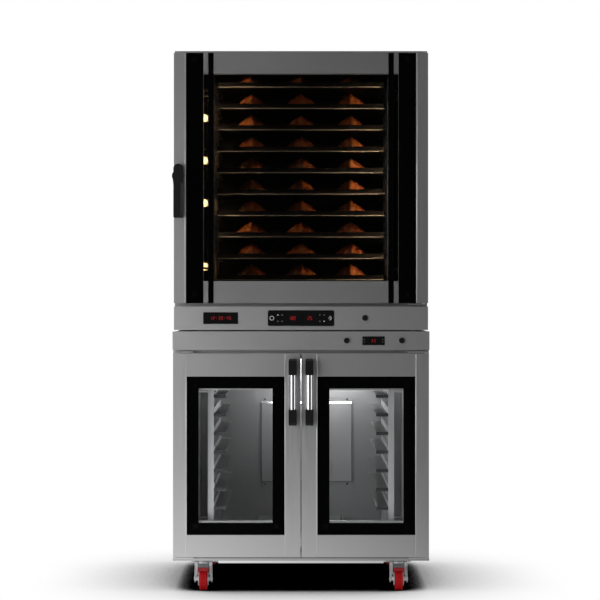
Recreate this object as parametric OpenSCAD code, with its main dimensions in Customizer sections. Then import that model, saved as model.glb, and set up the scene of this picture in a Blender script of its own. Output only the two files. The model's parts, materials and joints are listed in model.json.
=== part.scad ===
// Convection oven for ten baking trays, stacked on a two-door proofer on castors.
// Millimetres, +Z up, front towards -Y, origin under the middle of the whole object.

/* [Overall] */
// Width of the proofer cabinet
cabinet_w = 900; // [880:5:960]
// How much narrower the oven is on each side
oven_inset = 5; // [0:1:12]
// Depth from the door faces to the rear covers
cabinet_d = 945; // [900:5:1000]
// How far the door handles stand out of the door faces
handle_reach = 50; // [44:1:60]
// How far the flue stands out behind the rear cover
rear_reach = 55; // [53:1:70]
// Sheet thickness of casings, liners and fascias
sheet_t = 2; // [1.5:0.1:2.5]

/* [Heights] */
// Floor to the underside of the proofer
castor_h = 107; // [104:1:112]
// Height of the proofer up to its fascia
proofer_h = 740; // [720:5:780]
// Height of the proofer's control fascia
lower_fascia_h = 65; // [60:1:75]
// Gap between proofer and oven
stack_gap = 5; // [3:1:8]
// Height of the oven's control fascia
upper_fascia_h = 82; // [76:1:92]
// Height of the oven above its fascia
oven_h = 901; // [895:1:950]

/* [Oven door] */
// Thickness of the oven door
oven_door_t = 55; // [50:1:60]
// Gap between the oven door and the front frame
oven_door_gap = 8; // [7:0.5:12]
// Gap below the oven door
door_sill = 12; // [10:1:14]
// Casing height that shows above the oven door
door_head = 13; // [10:1:16]
// Width of the steel stiles beside the outer glass
oven_stile_w = 42.5; // [38:0.5:50]
// Width of the black bands beside the oven window
oven_band_w = 60.5; // [58.5:0.5:72]
// Height of the top rail above the window
oven_head_rail_h = 72; // [69:1:95]
// Height of the bottom rail below the window
oven_rail_h = 77; // [72:1:84]
// Thickness of the glass panes
glass_t = 5; // [4:0.5:6]
// Distance of the hinge pin from the edge of a door
pin_inset = 15; // [13:0.5:16]
// Radius of the hinge pins
pin_r = 5; // [4:0.5:6]

/* [Lever] */
// Height of the lever's pivot above the bottom of the door
lever_rise = 459; // [400:5:520]
// Width of the lever's grip
grip_w = 35; // [28:1:36]
// Length of the grip below the pivot
grip_l = 161; // [130:1:180]
// Thickness of the grip
grip_t = 18; // [14:1:22]

/* [Baking chamber] */
// Inner width of the chamber
chamber_w = 720; // [710:2:760]
// Height of the oven above its chamber
chamber_head = 72; // [56:1:75]
// Depth of the chamber behind the front frame
chamber_d = 619; // [600:1:640]
// Height of the chamber floor above the fascia
chamber_rise = 76; // [72:1:84]
// Lip of the front frame round the chamber, at the sides
mouth_lip = 15; // [12:1:17]
// Number of tray levels
tray_count = 10; // [6:1:10]
// Width of a tray
tray_w = 600; // [560:5:605]
// Depth of a tray
tray_d = 400; // [380:5:405]
// Height of a tray's rim
tray_h = 18; // [12:1:22]
// Radius of the rack wires
wire_r = 3; // [2:0.5:4]
// Radius of the rack uprights
upright_r = 4; // [3:0.5:5]

/* [Fans and heaters] */
// Radius of a fan wheel, as a share of the height of the chamber
fan_share = 0.2; // [0.16:0.005:0.21]
// Width of a fan wheel along its shaft
fan_w = 58; // [45:1:64]
// Number of blades on a fan wheel
blade_count = 14; // [10:1:18]
// Radius of the fan shafts
shaft_r = 8; // [6:0.5:10]
// Radius of the tube of the heating elements
element_r = 4; // [3:0.5:5]
// Rings in each heating element
element_rings = 3; // [2:1:3]
// Radius of a motor
motor_r = 56; // [48:1:64]

/* [Proofer] */
// Thickness of the proofer doors
proofer_door_t = 40; // [36:1:44]
// Gap between the proofer doors and the cabinet
proofer_door_gap = 5; // [5:0.5:8]
// Gap between the two proofer doors
door_split = 3.5; // [3:0.5:6]
// Distance of the proofer hinge pins from the outer edge of their doors
proofer_pin_inset = 10; // [9:0.5:13]
// Width of the stile under the handle
inner_stile_w = 56; // [50:1:62]
// Width of the stile at the hinges
outer_stile_w = 48; // [42:1:56]
// Width of the black border at the sides of the proofer windows
border_w = 42; // [34:1:48]
// Inner width of the proofer chamber
proof_w = 770; // [760:5:800]
// Inner height of the proofer chamber
proof_h = 665; // [655:5:680]
// Depth of the proofer chamber
proof_d = 753; // [720:1:780]
// Number of runners on each side
runner_count = 7; // [5:1:8]
// Distance from one runner to the next
runner_pitch = 66; // [60:1:72]
// Width of a runner's ledge
ledge_w = 43; // [36:1:50]

/* [Handles] */
// Radius of the steel handle bars
bar_r = 10.8; // [9:0.1:12]
// Length of bar that shows between its ends
bar_l = 120; // [100:5:160]
// Width of the handle ends
handle_end_w = 28; // [25:1:32]
// Height of the handle ends
handle_end_h = 56; // [48:1:64]

/* [Castors] */
// Radius of a castor wheel
wheel_r = 40; // [36:1:41]
// Width of a castor wheel
wheel_w = 28; // [26:1:30]
// Distance of the wheel axle from the swivel axis
castor_trail = 28; // [24:1:32]
// Distance of the castors from the sides of the cabinet
castor_inset = 106; // [80:2:130]
// Distance between the front and rear swivel axes
wheelbase = 775; // [740:5:800]
// Width over the fork legs
fork_w = 62; // [58:1:68]

/* [Hidden] */
$fn = 64;
fit = 0.05;
gap = 0.3;
seat_gap = 0.2;
frame_t = 3;
border_t = 1;

face_y = handle_reach - (handle_reach + cabinet_d + rear_reach) / 2;
back_y = face_y + cabinet_d;
rear_y = back_y - sheet_t;
frame_y = face_y + oven_door_t + oven_door_gap;
shell_y = frame_y + frame_t;
proofer_y = face_y + proofer_door_t + proofer_door_gap;
fascia_y = face_y + glass_t;

base_z = castor_h;
deck_z = base_z + proofer_h;
proofer_top_z = deck_z + lower_fascia_h;
oven_z = proofer_top_z + stack_gap;
fascia_top_z = oven_z + upper_fascia_h;
top_z = fascia_top_z + oven_h;
oven_x = cabinet_w / 2 - oven_inset;
cabinet_x = cabinet_w / 2;

door_z = [fascia_top_z + door_sill, top_z - door_head];
door_y = [face_y, face_y + oven_door_t];
glass_x = oven_x - oven_stile_w;
window_x = glass_x - oven_band_w;
window_z = [door_z[0] + oven_rail_h, door_z[1] - oven_head_rail_h];
oven_pin = [oven_x - pin_inset, face_y + oven_door_t - 20];
lever_x = -oven_x + grip_w / 2;
lever_z = door_z[0] + lever_rise;
spindle_r = 5;
lever_gap = 17;

chamber_x = chamber_w / 2;
chamber_z = [fascia_top_z + chamber_rise, top_z - chamber_head];
chamber_h = chamber_z[1] - chamber_z[0];
chamber_back = shell_y + chamber_d;
mouth_x = chamber_x - mouth_lip;
mouth_z = [chamber_z[0] + 10, chamber_z[1] - 10];
tray_rise = 18;
tray_pitch = (chamber_h + 10) / tray_count;
tray_wall = 1.2;
tray_y = [shell_y + 79, shell_y + 79 + tray_d];
upright_x = tray_w / 2 + upright_r + 6;
wire_x = tray_w / 2 - 7;
upright_ys = [tray_y[0] - 10, (tray_y[0] + tray_y[1]) / 2, tray_y[1] + 2];
wire_over = 6;
function tray_z(i) = chamber_z[0] + tray_rise + i * tray_pitch;

fan_space = 100;
fan_r = chamber_h * fan_share;
fan_spacing = fan_r * 2.4;
baffle_y = chamber_back - fan_space;
baffle_x = chamber_x - 30;
baffle_z = [chamber_z[0] + 15, chamber_z[1] - 15];
standoff_r = 6;
standoff_inset = [25, 20];
fan_z = (chamber_z[0] + chamber_z[1]) / 2;
fan_y = [baffle_y + 20, baffle_y + 20 + fan_w];
fan_zs = [fan_z + fan_spacing / 2, fan_z - fan_spacing / 2];
intake_r = fan_r * 2 / 3;
element_ring_r = fan_r + 18;
motor_y = chamber_back + sheet_t + 48;
motor_share = 0.577;
motor_l = (rear_y - motor_y) * motor_share;
lamp_y = shell_y + 159;
lamp_shares = [0.089, 0.393, 0.596, 0.799];
lamp_r = 14;

flue_r = 25;
flue_wall = 1.5;
flue_x = oven_x - 195;
flue_z = chamber_z[1] - 48;
flue_y = back_y + rear_reach - flue_r;
inlet_at = [-oven_x + 145, oven_z + 43];
inlet_r = 13.2;
gland_at = [oven_x - 65, oven_z + 43];
gland_r = 14;
cord_r = 8;
service_l = 26;

status_size = [122, 41];
status_at = [-oven_x + 163.5, oven_z + 41.5];
panel_size = [232, 55];
panel_at = [0, oven_z + 41.5];
thermostat_size = [78, 30.5];
thermostat_at = [cabinet_x - 196, deck_z + 32.3];
oven_button_at = [oven_x - 221, oven_z + 42];
power_button_at = [cabinet_x - 290, deck_z + 33];
set_button_at = [cabinet_x - 97, deck_z + 33];
button_r = 10;
button_stem_r = 6;
button_travel = 2.5;
bezel_t = 4;
display_t = 2;

proof_x = proof_w / 2;
proof_z = [base_z + 43, base_z + 43 + proof_h];
proof_back = proofer_y + sheet_t + proof_d;
proofer_door_z = [base_z + 14, deck_z - 12];
proofer_door_x = [door_split / 2, cabinet_x - 2];
proofer_door_y = [face_y, face_y + proofer_door_t];
proofer_pin = [proofer_door_x[1] - proofer_pin_inset, face_y + proofer_door_t / 2];
pane_x = [proofer_door_x[0] + inner_stile_w, proofer_door_x[1] - outer_stile_w];
pane_z = [proofer_door_z[0] + 78.5, proofer_door_z[1] - 81];
clear_x = [pane_x[0] + border_w, pane_x[1] - border_w];
clear_z = [pane_z[0] + border_w, pane_z[1] - border_w];
pane_y = [face_y + 1, face_y + 1 + glass_t];
post_w = 21;
post_x = tray_w / 2 + 8.5;
post_h = proof_h - 75;
ledge_t = 1.5;
post_ys = [proofer_y + 50, (proofer_y + proof_back) / 2, proof_back - 35];
top_runner_z = proof_z[1] - 127;
cover_at = 22;
cover_w = 348;
cover_z = [proof_z[0] + 174, proof_z[0] + 481];
cover_t = 12;
basin_x = 160;
basin_y = [proof_back - 290, proof_back - 40];
basin_h = 46;
loop_r = 5;
loop_x = 100;
loop_z = proof_z[0] + 14;
handle_x = proofer_door_x[0] + 27.5;
handle_z = [deck_z - 262.5, deck_z - 31];
bar_y = face_y - handle_reach + handle_end_w / 2;
bar_socket = 15;

castor_x = cabinet_x - castor_inset;
front_castor_y = -wheelbase / 2 - 2.5;
rear_castor_y = front_castor_y + wheelbase;
plate_t = 3;
race_h = 4;
king_r = 6;
axle_r = 5;
leg_t = 3;
crown_z = [base_z - 14, base_z - 7 - gap];
flange_w = 10.5;
guard_r = 24;
guard_t = 3;
pedal_w = fork_w - 24;
pedal_clear = 4;
pedal_t = 4;
pedal_pivot = [-castor_trail + 8, base_z - 20.5];
pedal_pin_r = 3;

louvre_w = 110;
louvre_h = 5;
louvre_out = 6;
louvre_pitch = 22;

panel_end = 102;

bracket_t = 5;
pin_l = 22;
cam_y = [door_y[1] + 1, door_y[1] + 4.5];
cam_l = 24;

steel = [0.66, 0.66, 0.67];
dark_steel = [0.42, 0.42, 0.44];
black = [0.06, 0.06, 0.06];
clear_glass = [0.75, 0.8, 0.82, 0.3];
red = [0.72, 0.05, 0.07];

// Box between two limits on each axis
module block(x, y, z) {
    translate([x[0], y[0], z[0]])
        cube([x[1] - x[0], y[1] - y[0], z[1] - z[0]]);
}

// The same thing on the left and on the right
module both_sides() {
    children();
    mirror([1, 0, 0]) children();
}

module rod_x(y, z, r, x) {
    translate([x[0], y, z]) rotate([0, 90, 0]) cylinder(r = r, h = x[1] - x[0]);
}

module rod_y(x, z, r, y) {
    translate([x, y[0], z]) rotate([-90, 0, 0]) cylinder(r = r, h = y[1] - y[0]);
}

module rod_z(x, y, r, z) {
    translate([x, y, z[0]]) cylinder(r = r, h = z[1] - z[0]);
}

// Outline drawn in X and Z, given a thickness along Y
module front_extrude(y) {
    translate([0, y[1], 0]) rotate([90, 0, 0]) linear_extrude(height = y[1] - y[0]) children();
}

// Outline drawn in Y and Z, given a thickness along X
module side_extrude(x) {
    translate([x[0], 0, 0]) rotate([90, 0, 90]) linear_extrude(height = x[1] - x[0]) children();
}

// Flat rectangle between limits
module area(x, z) {
    translate([x[0], z[0]]) square([x[1] - x[0], z[1] - z[0]]);
}

// Flat rectangle with round corners between limits
module round_area(x, z, r) {
    area([x[0] + r, x[1] - r], z);
    area(x, [z[0] + r, z[1] - r]);
    for (a = [x[0] + r, x[1] - r], b = [z[0] + r, z[1] - r])
        translate([a, b]) circle(r = r);
}

// Limits of a size centred on a place
function about(at, size) = [at - size / 2, at + size / 2];

// Air slots in a rear cover, one above the other, and the hoods over them
module louvre_slots(x, z, count) {
    for (i = [0:count - 1])
        block(about(x, louvre_w), [rear_y - 1, back_y + 1],
              about(z + i * louvre_pitch, louvre_h));
}

module louvre_hoods(x, z, count) {
    for (i = [0:count - 1])
        side_extrude(about(x, louvre_w + 8))
            translate([back_y, z + i * louvre_pitch])
                polygon([[0, louvre_h / 2 + 2], [louvre_out, -1], [louvre_out, -3],
                         [louvre_out - 1.5, -3], [0, louvre_h / 2 - 0.5]]);
}

// Oven casing: two sides and the top, one bent sheet
module oven_casing() {
    color(steel) difference() {
        block([-oven_x, oven_x], [shell_y, rear_y], [oven_z, top_z]);
        block([-oven_x + sheet_t, oven_x - sheet_t], [shell_y - 1, rear_y + 1],
              [oven_z - 1, top_z - sheet_t]);
    }
}

// Rear cover of the oven with motor louvres and service holes
module oven_rear_cover() {
    color(steel) {
        difference() {
            block([-oven_x, oven_x], [rear_y, back_y], [oven_z, top_z]);
            for (z = fan_zs) louvre_slots(0, z - 55, 6);
            rod_y(flue_x, flue_z, flue_r + gap, [rear_y - 1, back_y + 1]);
            rod_y(inlet_at[0], inlet_at[1], inlet_r + gap, [rear_y - 1, back_y + 1]);
            rod_y(gland_at[0], gland_at[1], gland_r + gap, [rear_y - 1, back_y + 1]);
        }
        for (z = fan_zs) louvre_hoods(0, z - 55, 6);
    }
}

// Bottom pan of the oven on its four stacking pads
module oven_base() {
    pad_r = 15;
    color(dark_steel) {
        block([-oven_x + sheet_t, oven_x - sheet_t], [shell_y, rear_y],
              [oven_z, oven_z + sheet_t]);
        for (x = [-oven_x + 60, oven_x - 60], y = [shell_y + 60, rear_y - 60])
            rod_z(x, y, pad_r, [proofer_top_z, oven_z]);
    }
}

// Baking chamber liner, open at the front, with shaft holes in its back
module oven_chamber() {
    color(dark_steel) difference() {
        block([-chamber_x - sheet_t, chamber_x + sheet_t], [shell_y, chamber_back + sheet_t],
              [chamber_z[0] - sheet_t, chamber_z[1] + sheet_t]);
        block([-chamber_x, chamber_x], [shell_y - 1, chamber_back], chamber_z);
        for (z = fan_zs) rod_y(0, z, shaft_r + 4, [chamber_back - 1, chamber_back + sheet_t + 1]);
        rod_y(flue_x, flue_z, flue_r - flue_wall, [chamber_back - 1, chamber_back + sheet_t + 1]);
    }
}

// Flat frame round the mouth of the baking chamber
module oven_front_frame() {
    color(steel) front_extrude([frame_y, shell_y]) difference() {
        area([-oven_x, oven_x], [fascia_top_z, top_z]);
        area([-mouth_x, mouth_x], mouth_z);
    }
}

// Silicone door gasket of the oven, pressed flat between the frame and the closed door
module oven_gasket() {
    lip = 12;
    color(black) front_extrude([face_y + oven_door_t + gap, frame_y]) difference() {
        round_area([-mouth_x - lip - 2, mouth_x + lip + 2],
                   [mouth_z[0] - lip, mouth_z[1] + lip], 14);
        area([-mouth_x - 2, mouth_x + 2], mouth_z);
    }
}

// One side of the tray rack: uprights, wall spacers and a wire ledge for each level
module rack_side() {
    for (y = upright_ys) {
        rod_z(upright_x, y, upright_r, [chamber_z[0], chamber_z[1] - 10]);
        for (z = [chamber_z[0] + 60, chamber_z[1] - 60])
            rod_x(y, z, upright_r, [upright_x, chamber_x]);
    }
    for (i = [0:tray_count - 1]) {
        wire_z = tray_z(i) - seat_gap - wire_r;
        rod_y(wire_x, wire_z, wire_r, [upright_ys[0] - wire_over, upright_ys[2] + wire_over]);
        for (y = upright_ys) rod_x(y, wire_z, wire_r * 0.8, [wire_x, upright_x]);
    }
}

module oven_racks() {
    color([0.75, 0.75, 0.76]) both_sides() rack_side();
}

// Ten shallow trays with rounded corners
module baking_trays() {
    color([0.3, 0.28, 0.26])
        for (i = [0:tray_count - 1])
            translate([0, 0, tray_z(i)]) difference() {
                linear_extrude(height = tray_h)
                    round_area([-tray_w / 2, tray_w / 2], tray_y, 12);
                translate([0, 0, tray_wall]) linear_extrude(height = tray_h)
                    round_area([-tray_w / 2 + tray_wall, tray_w / 2 - tray_wall],
                               [tray_y[0] + tray_wall, tray_y[1] - tray_wall], 11);
            }
}

// Ring-shaped air slots of a fan intake, cut by four spokes
module intake_slots() {
    slot = 9;
    web = 5;
    difference() {
        for (r = [24:slot + web:intake_r]) difference() {
            circle(r = r);
            circle(r = r - slot);
        }
        for (a = [45, 135]) rotate(a) square([fan_r * 2, 7], center = true);
    }
}

// Baffle in front of the fans, on standoffs from the back of the chamber
module fan_baffle() {
    standoff_x = baffle_x - standoff_inset[0];
    standoff_zs = [baffle_z[0] + standoff_inset[1], fan_z, baffle_z[1] - standoff_inset[1]];
    color(dark_steel) {
        front_extrude([baffle_y, baffle_y + sheet_t]) difference() {
            area([-baffle_x, baffle_x], baffle_z);
            for (z = fan_zs) translate([0, z]) intake_slots();
        }
        for (x = [-standoff_x, standoff_x], z = standoff_zs)
            rod_y(x, z, standoff_r, [baffle_y + sheet_t, chamber_back]);
    }
}

// Tubular heaters: rings round each fan, joined by flat straps that reach the back wall
module heating_elements() {
    strap_w = 14;
    strap_t = 3;
    step = fan_w / element_rings;
    color([0.35, 0.3, 0.28])
        for (z = fan_zs) translate([0, 0, z]) {
            for (i = [0:element_rings - 1])
                translate([0, fan_y[0] + step * (i + 0.5), 0]) rotate([90, 0, 0])
                    rotate_extrude() translate([element_ring_r, 0]) circle(r = element_r, $fn = 24);
            for (a = [35, 145, 215, 325]) rotate([0, a, 0])
                block([element_ring_r - strap_t / 2, element_ring_r + strap_t / 2],
                      [fan_y[0], chamber_back], about(0, strap_w));
        }
}

// Fan motors on four studs behind the chamber
module fan_motor(z) {
    stud_at = motor_r - 10;
    difference() {
        union() {
            rod_y(0, z, motor_r, [motor_y, motor_y + motor_l]);
            rod_y(0, z, motor_r + 7, [motor_y + 10, motor_y + 18]);
            rod_y(0, z, motor_r - 12, [motor_y + motor_l, motor_y + motor_l + 8]);
            for (x = [-stud_at, stud_at], dz = [-1, 1])
                rod_y(x * 0.7, z + dz * stud_at * 0.7, 5,
                      [chamber_back + sheet_t, motor_y]);
        }
        rod_y(0, z, shaft_r + fit, [motor_y - 1, motor_y + motor_l - 20]);
    }
}

module fan_motors() {
    color([0.25, 0.27, 0.3]) for (z = fan_zs) fan_motor(z);
}

// Round lamps on the left wall of the chamber
module oven_lamps() {
    base_t = 10;
    color([0.95, 0.82, 0.6])
        for (share = lamp_shares)
            translate([-chamber_x, lamp_y, chamber_z[0] + share * chamber_h]) rotate([0, 90, 0]) {
                cylinder(r = lamp_r + 5, h = base_t);
                translate([0, 0, base_t]) intersection() {
                    sphere(r = lamp_r);
                    cylinder(r = lamp_r + 1, h = lamp_r);
                }
            }
}

// Steam flue: through the rear cover, then a bend upwards
module exhaust_flue() {
    bend_r = flue_y - back_y;
    flue_top = top_z - 10;
    color(steel) {
        difference() {
            rod_y(flue_x, flue_z, flue_r, [chamber_back + sheet_t, back_y]);
            rod_y(flue_x, flue_z, flue_r - flue_wall, [chamber_back + sheet_t - 1, back_y + 1]);
        }
        translate([flue_x, back_y, flue_z + bend_r]) rotate([90, 0, 90]) rotate([0, 0, -90])
            rotate_extrude(angle = 90) translate([bend_r, 0]) difference() {
                circle(r = flue_r);
                circle(r = flue_r - flue_wall);
            }
        difference() {
            rod_z(flue_x, flue_y, flue_r, [flue_z + bend_r, flue_top]);
            rod_z(flue_x, flue_y, flue_r - flue_wall, [flue_z + bend_r - 1, flue_top + 1]);
        }
    }
}

// Push button bezel ring on a fascia
module bezel(at) {
    difference() {
        rod_y(at[0], at[1], button_r + 2, [fascia_y - bezel_t, fascia_y]);
        rod_y(at[0], at[1], button_r + gap, [fascia_y - bezel_t - 1, fascia_y + 1]);
    }
}

// Folded fascia: front sheet with flanges back to the cabinet
module fascia(x, z, back) {
    difference() {
        block([-x, x], [fascia_y, back], z);
        block([-x + sheet_t, x - sheet_t], [fascia_y + sheet_t, back + 1],
              [z[0] + sheet_t, z[1] - sheet_t]);
    }
}

// Cut-out in a fascia behind a display
module display_hole(at, size) {
    block(about(at[0], size[0] - 10), [fascia_y - 1, fascia_y + sheet_t + 1],
          about(at[1], size[1] - 8));
}

module button_hole(at) {
    rod_y(at[0], at[1], button_stem_r + fit, [fascia_y - 1, fascia_y + sheet_t + 1]);
}

module upper_fascia() {
    color(steel) {
        difference() {
            fascia(oven_x, [oven_z, fascia_top_z], shell_y);
            display_hole(status_at, status_size);
            display_hole(panel_at, panel_size);
            button_hole(oven_button_at);
        }
        bezel(oven_button_at);
    }
}

module lower_fascia() {
    color(steel) {
        difference() {
            fascia(cabinet_x, [deck_z, proofer_top_z], proofer_y);
            display_hole(thermostat_at, thermostat_size);
            button_hole(power_button_at);
            button_hole(set_button_at);
        }
        bezel(power_button_at);
        bezel(set_button_at);
    }
}

// Display: flat window on the fascia and its housing behind the cut-out
module display(at, size, corner) {
    front_extrude([fascia_y - display_t, fascia_y])
        round_area(about(at[0], size[0]), about(at[1], size[1]), corner);
    block(about(at[0], size[0] - 10 - 2 * gap), [fascia_y, fascia_y + 22],
          about(at[1], size[1] - 8 - 2 * gap));
}

module status_display() {
    color(black) display(status_at, status_size, 2);
}

// Main panel: a raised ring key at one end, a round lamp at the other, and eight small keys
module main_panel() {
    key_y = fascia_y - display_t;
    color(black) {
        display(panel_at, panel_size, 6);
        for (s = [-1, 1], i = [0, 1], j = [-1, 1])
            rod_y(panel_at[0] + s * (66 + i * 15), panel_at[1] + j * 11, 2.6, [key_y - 0.8, key_y]);
        front_extrude([key_y - 0.8, key_y])
            translate([panel_at[0] - panel_end, panel_at[1]]) difference() {
                circle(r = 8.5);
                circle(r = 6);
            }
        rod_y(panel_at[0] + panel_end, panel_at[1], 7, [key_y - 0.8, key_y]);
    }
}

module proofer_thermostat() {
    color(black) display(thermostat_at, thermostat_size, 2);
}

// Push button: cap, stem through the fascia and a collar behind it
module push_button(at) {
    cap_y = [fascia_y - bezel_t - 3, fascia_y - button_travel - gap];
    color(black) {
        rod_y(at[0], at[1], button_r, cap_y);
        rod_y(at[0], at[1], button_stem_r, [cap_y[1], fascia_y + sheet_t + 9]);
        rod_y(at[0], at[1], button_stem_r + 3, [fascia_y + sheet_t + gap, fascia_y + sheet_t + 3]);
    }
}

module oven_button() push_button(oven_button_at);
module power_button() push_button(power_button_at);
module set_button() push_button(set_button_at);

// Hinge bracket: plate fixed to the cabinet, with a pin into the door's edge
module hinge_bracket(pin, x, back, z, pin_z) {
    block(x, [pin[1] - 12, back], z);
    rod_z(pin[0], pin[1], pin_r, pin_z);
}

module door_hinges() {
    inner = oven_x - 67;
    color([0.8, 0.8, 0.81]) {
        hinge_bracket(oven_pin, [inner, oven_x - 3], frame_y,
                      [door_z[1] + 2, door_z[1] + 2 + bracket_t],
                      [door_z[1] - pin_l, door_z[1] + 2]);
        hinge_bracket(oven_pin, [inner, oven_x - 3], frame_y,
                      [door_z[0] - 2 - bracket_t, door_z[0] - 2],
                      [door_z[0] - 2, door_z[0] + pin_l]);
        both_sides() {
            hinge_bracket(proofer_pin, [proofer_pin[0] - 60, proofer_door_x[1] - 1], proofer_y,
                          [proofer_door_z[1] + 2, proofer_door_z[1] + 2 + bracket_t],
                          [proofer_door_z[1] - pin_l, proofer_door_z[1] + 2]);
            hinge_bracket(proofer_pin, [proofer_pin[0] - 60, proofer_door_x[1] - 1], proofer_y,
                          [proofer_door_z[0] - bracket_t, proofer_door_z[0] - 2],
                          [proofer_door_z[0] - 2, proofer_door_z[0] + pin_l]);
        }
    }
}

// Latch keeper: plate on the front frame with a turned-up wall beside the cam
module latch_keeper() {
    keeper_x = [-oven_x + 1, lever_x + 12];
    color(dark_steel) {
        block(keeper_x, [frame_y - 1.5, frame_y], [lever_z - cam_l - 16, lever_z + 16]);
        block([keeper_x[0], keeper_x[0] + 2], [cam_y[0], frame_y - 1.5],
              [lever_z - cam_l - 16, lever_z + 16]);
    }
}

// Water connection: threaded nipple with a nut on the rear cover
module water_inlet() {
    color([0.78, 0.62, 0.32]) difference() {
        union() {
            rod_y(inlet_at[0], inlet_at[1], inlet_r, [rear_y - 20, back_y + service_l]);
            translate([inlet_at[0], back_y, inlet_at[1]]) rotate([-90, 0, 0])
                cylinder(r = inlet_r + 6, h = 8, $fn = 6);
            rod_y(inlet_at[0], inlet_at[1], inlet_r + 4, [rear_y - 6, rear_y]);
        }
        rod_y(inlet_at[0], inlet_at[1], inlet_r - 3.5, [rear_y - 21, back_y + service_l + 1]);
    }
}

// Cable gland in the rear cover, with its dome nut
module cable_gland() {
    color(black) difference() {
        union() {
            rod_y(gland_at[0], gland_at[1], gland_r, [rear_y - 10, back_y + 8]);
            translate([gland_at[0], back_y, gland_at[1]]) rotate([-90, 0, 0])
                cylinder(r = gland_r + 5, h = 6, $fn = 6);
            translate([gland_at[0], back_y + 8, gland_at[1]]) rotate([-90, 0, 0])
                cylinder(r1 = gland_r + 1, r2 = cord_r + 3, h = service_l - 8);
            rod_y(gland_at[0], gland_at[1], gland_r + 4, [rear_y - 5, rear_y]);
        }
        rod_y(gland_at[0], gland_at[1], cord_r, [rear_y - 11, back_y + service_l + 1]);
    }
}

// Oven door: hollow sheet frame round the window, with stiles beside the outer glass
module oven_door_frame() {
    wall = 2;
    front = face_y + glass_t + border_t;
    rebate = 8;
    sleeve_r = 11;
    color(steel) difference() {
        union() {
            difference() {
                union() {
                    block([-oven_x, oven_x], [front, door_y[1]], door_z);
                    both_sides() block([glass_x + gap, oven_x], [face_y, front + 1], door_z);
                }
                both_sides() block([window_x + rebate + wall, oven_x - wall],
                                   [front + wall, door_y[1] - wall],
                                   [door_z[0] + wall, door_z[1] - wall]);
                for (z = [[door_z[0] + wall, window_z[0] - rebate - wall],
                          [window_z[1] + rebate + wall, door_z[1] - wall]])
                    block([-window_x, window_x], [front + wall, door_y[1] - wall], z);
                both_sides() block([glass_x + gap + wall, oven_x - wall],
                                   [face_y + wall, front + wall + 1],
                                   [door_z[0] + wall, door_z[1] - wall]);
            }
            rod_y(lever_x, lever_z, sleeve_r, [face_y + 1, door_y[1] - 1]);
            for (z = [door_z[0], door_z[1] - pin_l - 4])
                rod_z(oven_pin[0], oven_pin[1], pin_r + 5, [z, z + pin_l + 4]);
        }
        block([-window_x, window_x], [front - 1, door_y[1] + 1], window_z);
        block([-window_x - rebate, window_x + rebate], [door_y[1] - glass_t, door_y[1] + 1],
              [window_z[0] - rebate, window_z[1] + rebate]);
        rod_y(lever_x, lever_z, spindle_r + fit, [face_y - 1, door_y[1] + 1]);
        for (z = [door_z[0] - 1, door_z[1] - pin_l - 1])
            rod_z(oven_pin[0], oven_pin[1], pin_r + fit, [z, z + pin_l + 2]);
        for (x = [-1, 1]) rod_z(x * (oven_x - 60), door_y[1] - 20, 3, [door_z[0] - 1, door_z[0] + 3]);
    }
}

// Outer pane of the oven door, as tall as the door
module oven_outer_glass() {
    color(clear_glass) block([-glass_x, glass_x], [face_y, face_y + glass_t], door_z);
}

// Black bands behind the outer pane and the four caps of its fixings
module oven_glass_border() {
    band_w = glass_x - window_x;
    cap_x = window_x + band_w / 2;
    cap_inset = [31, 24];
    color(black) {
        both_sides() {
            block([window_x, glass_x], [face_y + glass_t, face_y + glass_t + border_t], door_z);
            block([window_x - 36, window_x - 17], [face_y + glass_t, face_y + glass_t + border_t],
                  door_z);
        }
        for (x = [-cap_x, cap_x], z = [door_z[0] + cap_inset[0], door_z[1] - cap_inset[1]])
            rod_y(x, z, 9.5, [face_y - 2, face_y]);
    }
}

// Inner pane, in the rebate at the back of the door
module oven_inner_glass() {
    rebate = 8 - gap;
    color(clear_glass) block([-window_x - rebate, window_x + rebate],
                             [door_y[1] - glass_t + seat_gap, door_y[1]],
                             [window_z[0] - rebate, window_z[1] + rebate]);
}

// Outline of the lever seen from the front: domed head, pivot boss and grip
module lever_outline() {
    half = grip_w / 2;
    boss_r = oven_inset + half - 2;
    translate([lever_x, lever_z]) {
        translate([0, 10]) circle(r = half);
        translate([-2, -15]) circle(r = boss_r);
        polygon([[-2 - boss_r, -15], [half, -15], [half, -44], [-half, -44], [-boss_r, -22]]);
        polygon([[-half, 10], [half, 10], [half, -grip_l + 3], [half - 3, -grip_l],
                 [-half + 3, -grip_l], [-half, -grip_l + 3]]);
    }
}

// Lever handle with its rose, spindle and latch cam
module door_lever() {
    grip_y = face_y - lever_gap - grip_t;
    half = grip_w / 2;
    bevel = 7;
    color(black) {
        difference() {
            front_extrude([grip_y, face_y - lever_gap]) lever_outline();
            translate([lever_x + half, grip_y, 0]) rotate([0, 0, 45])
                block([-bevel, bevel], [-bevel, bevel], [lever_z - grip_l - 1, lever_z - 40]);
        }
        rod_y(lever_x, lever_z, 15, [face_y - lever_gap, face_y - gap]);
        rod_y(lever_x, lever_z, spindle_r, [face_y - gap, cam_y[1]]);
        front_extrude(cam_y) {
            translate([lever_x, lever_z]) circle(r = spindle_r + 4);
            area(about(lever_x, 10), [lever_z - cam_l, lever_z]);
        }
    }
}

// One curved blade of a fan wheel, seen along the shaft
module blade_outline() {
    curve_r = fan_r * 0.62;
    intersection() {
        translate([fan_r * 0.42, curve_r * 0.86]) difference() {
            circle(r = curve_r + 0.8);
            circle(r = curve_r - 0.8);
        }
        difference() {
            circle(r = fan_r - 2);
            circle(r = fan_r * 0.55);
        }
        translate([0, -fan_r]) square([fan_r, fan_r * 1.25]);
    }
}

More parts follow.
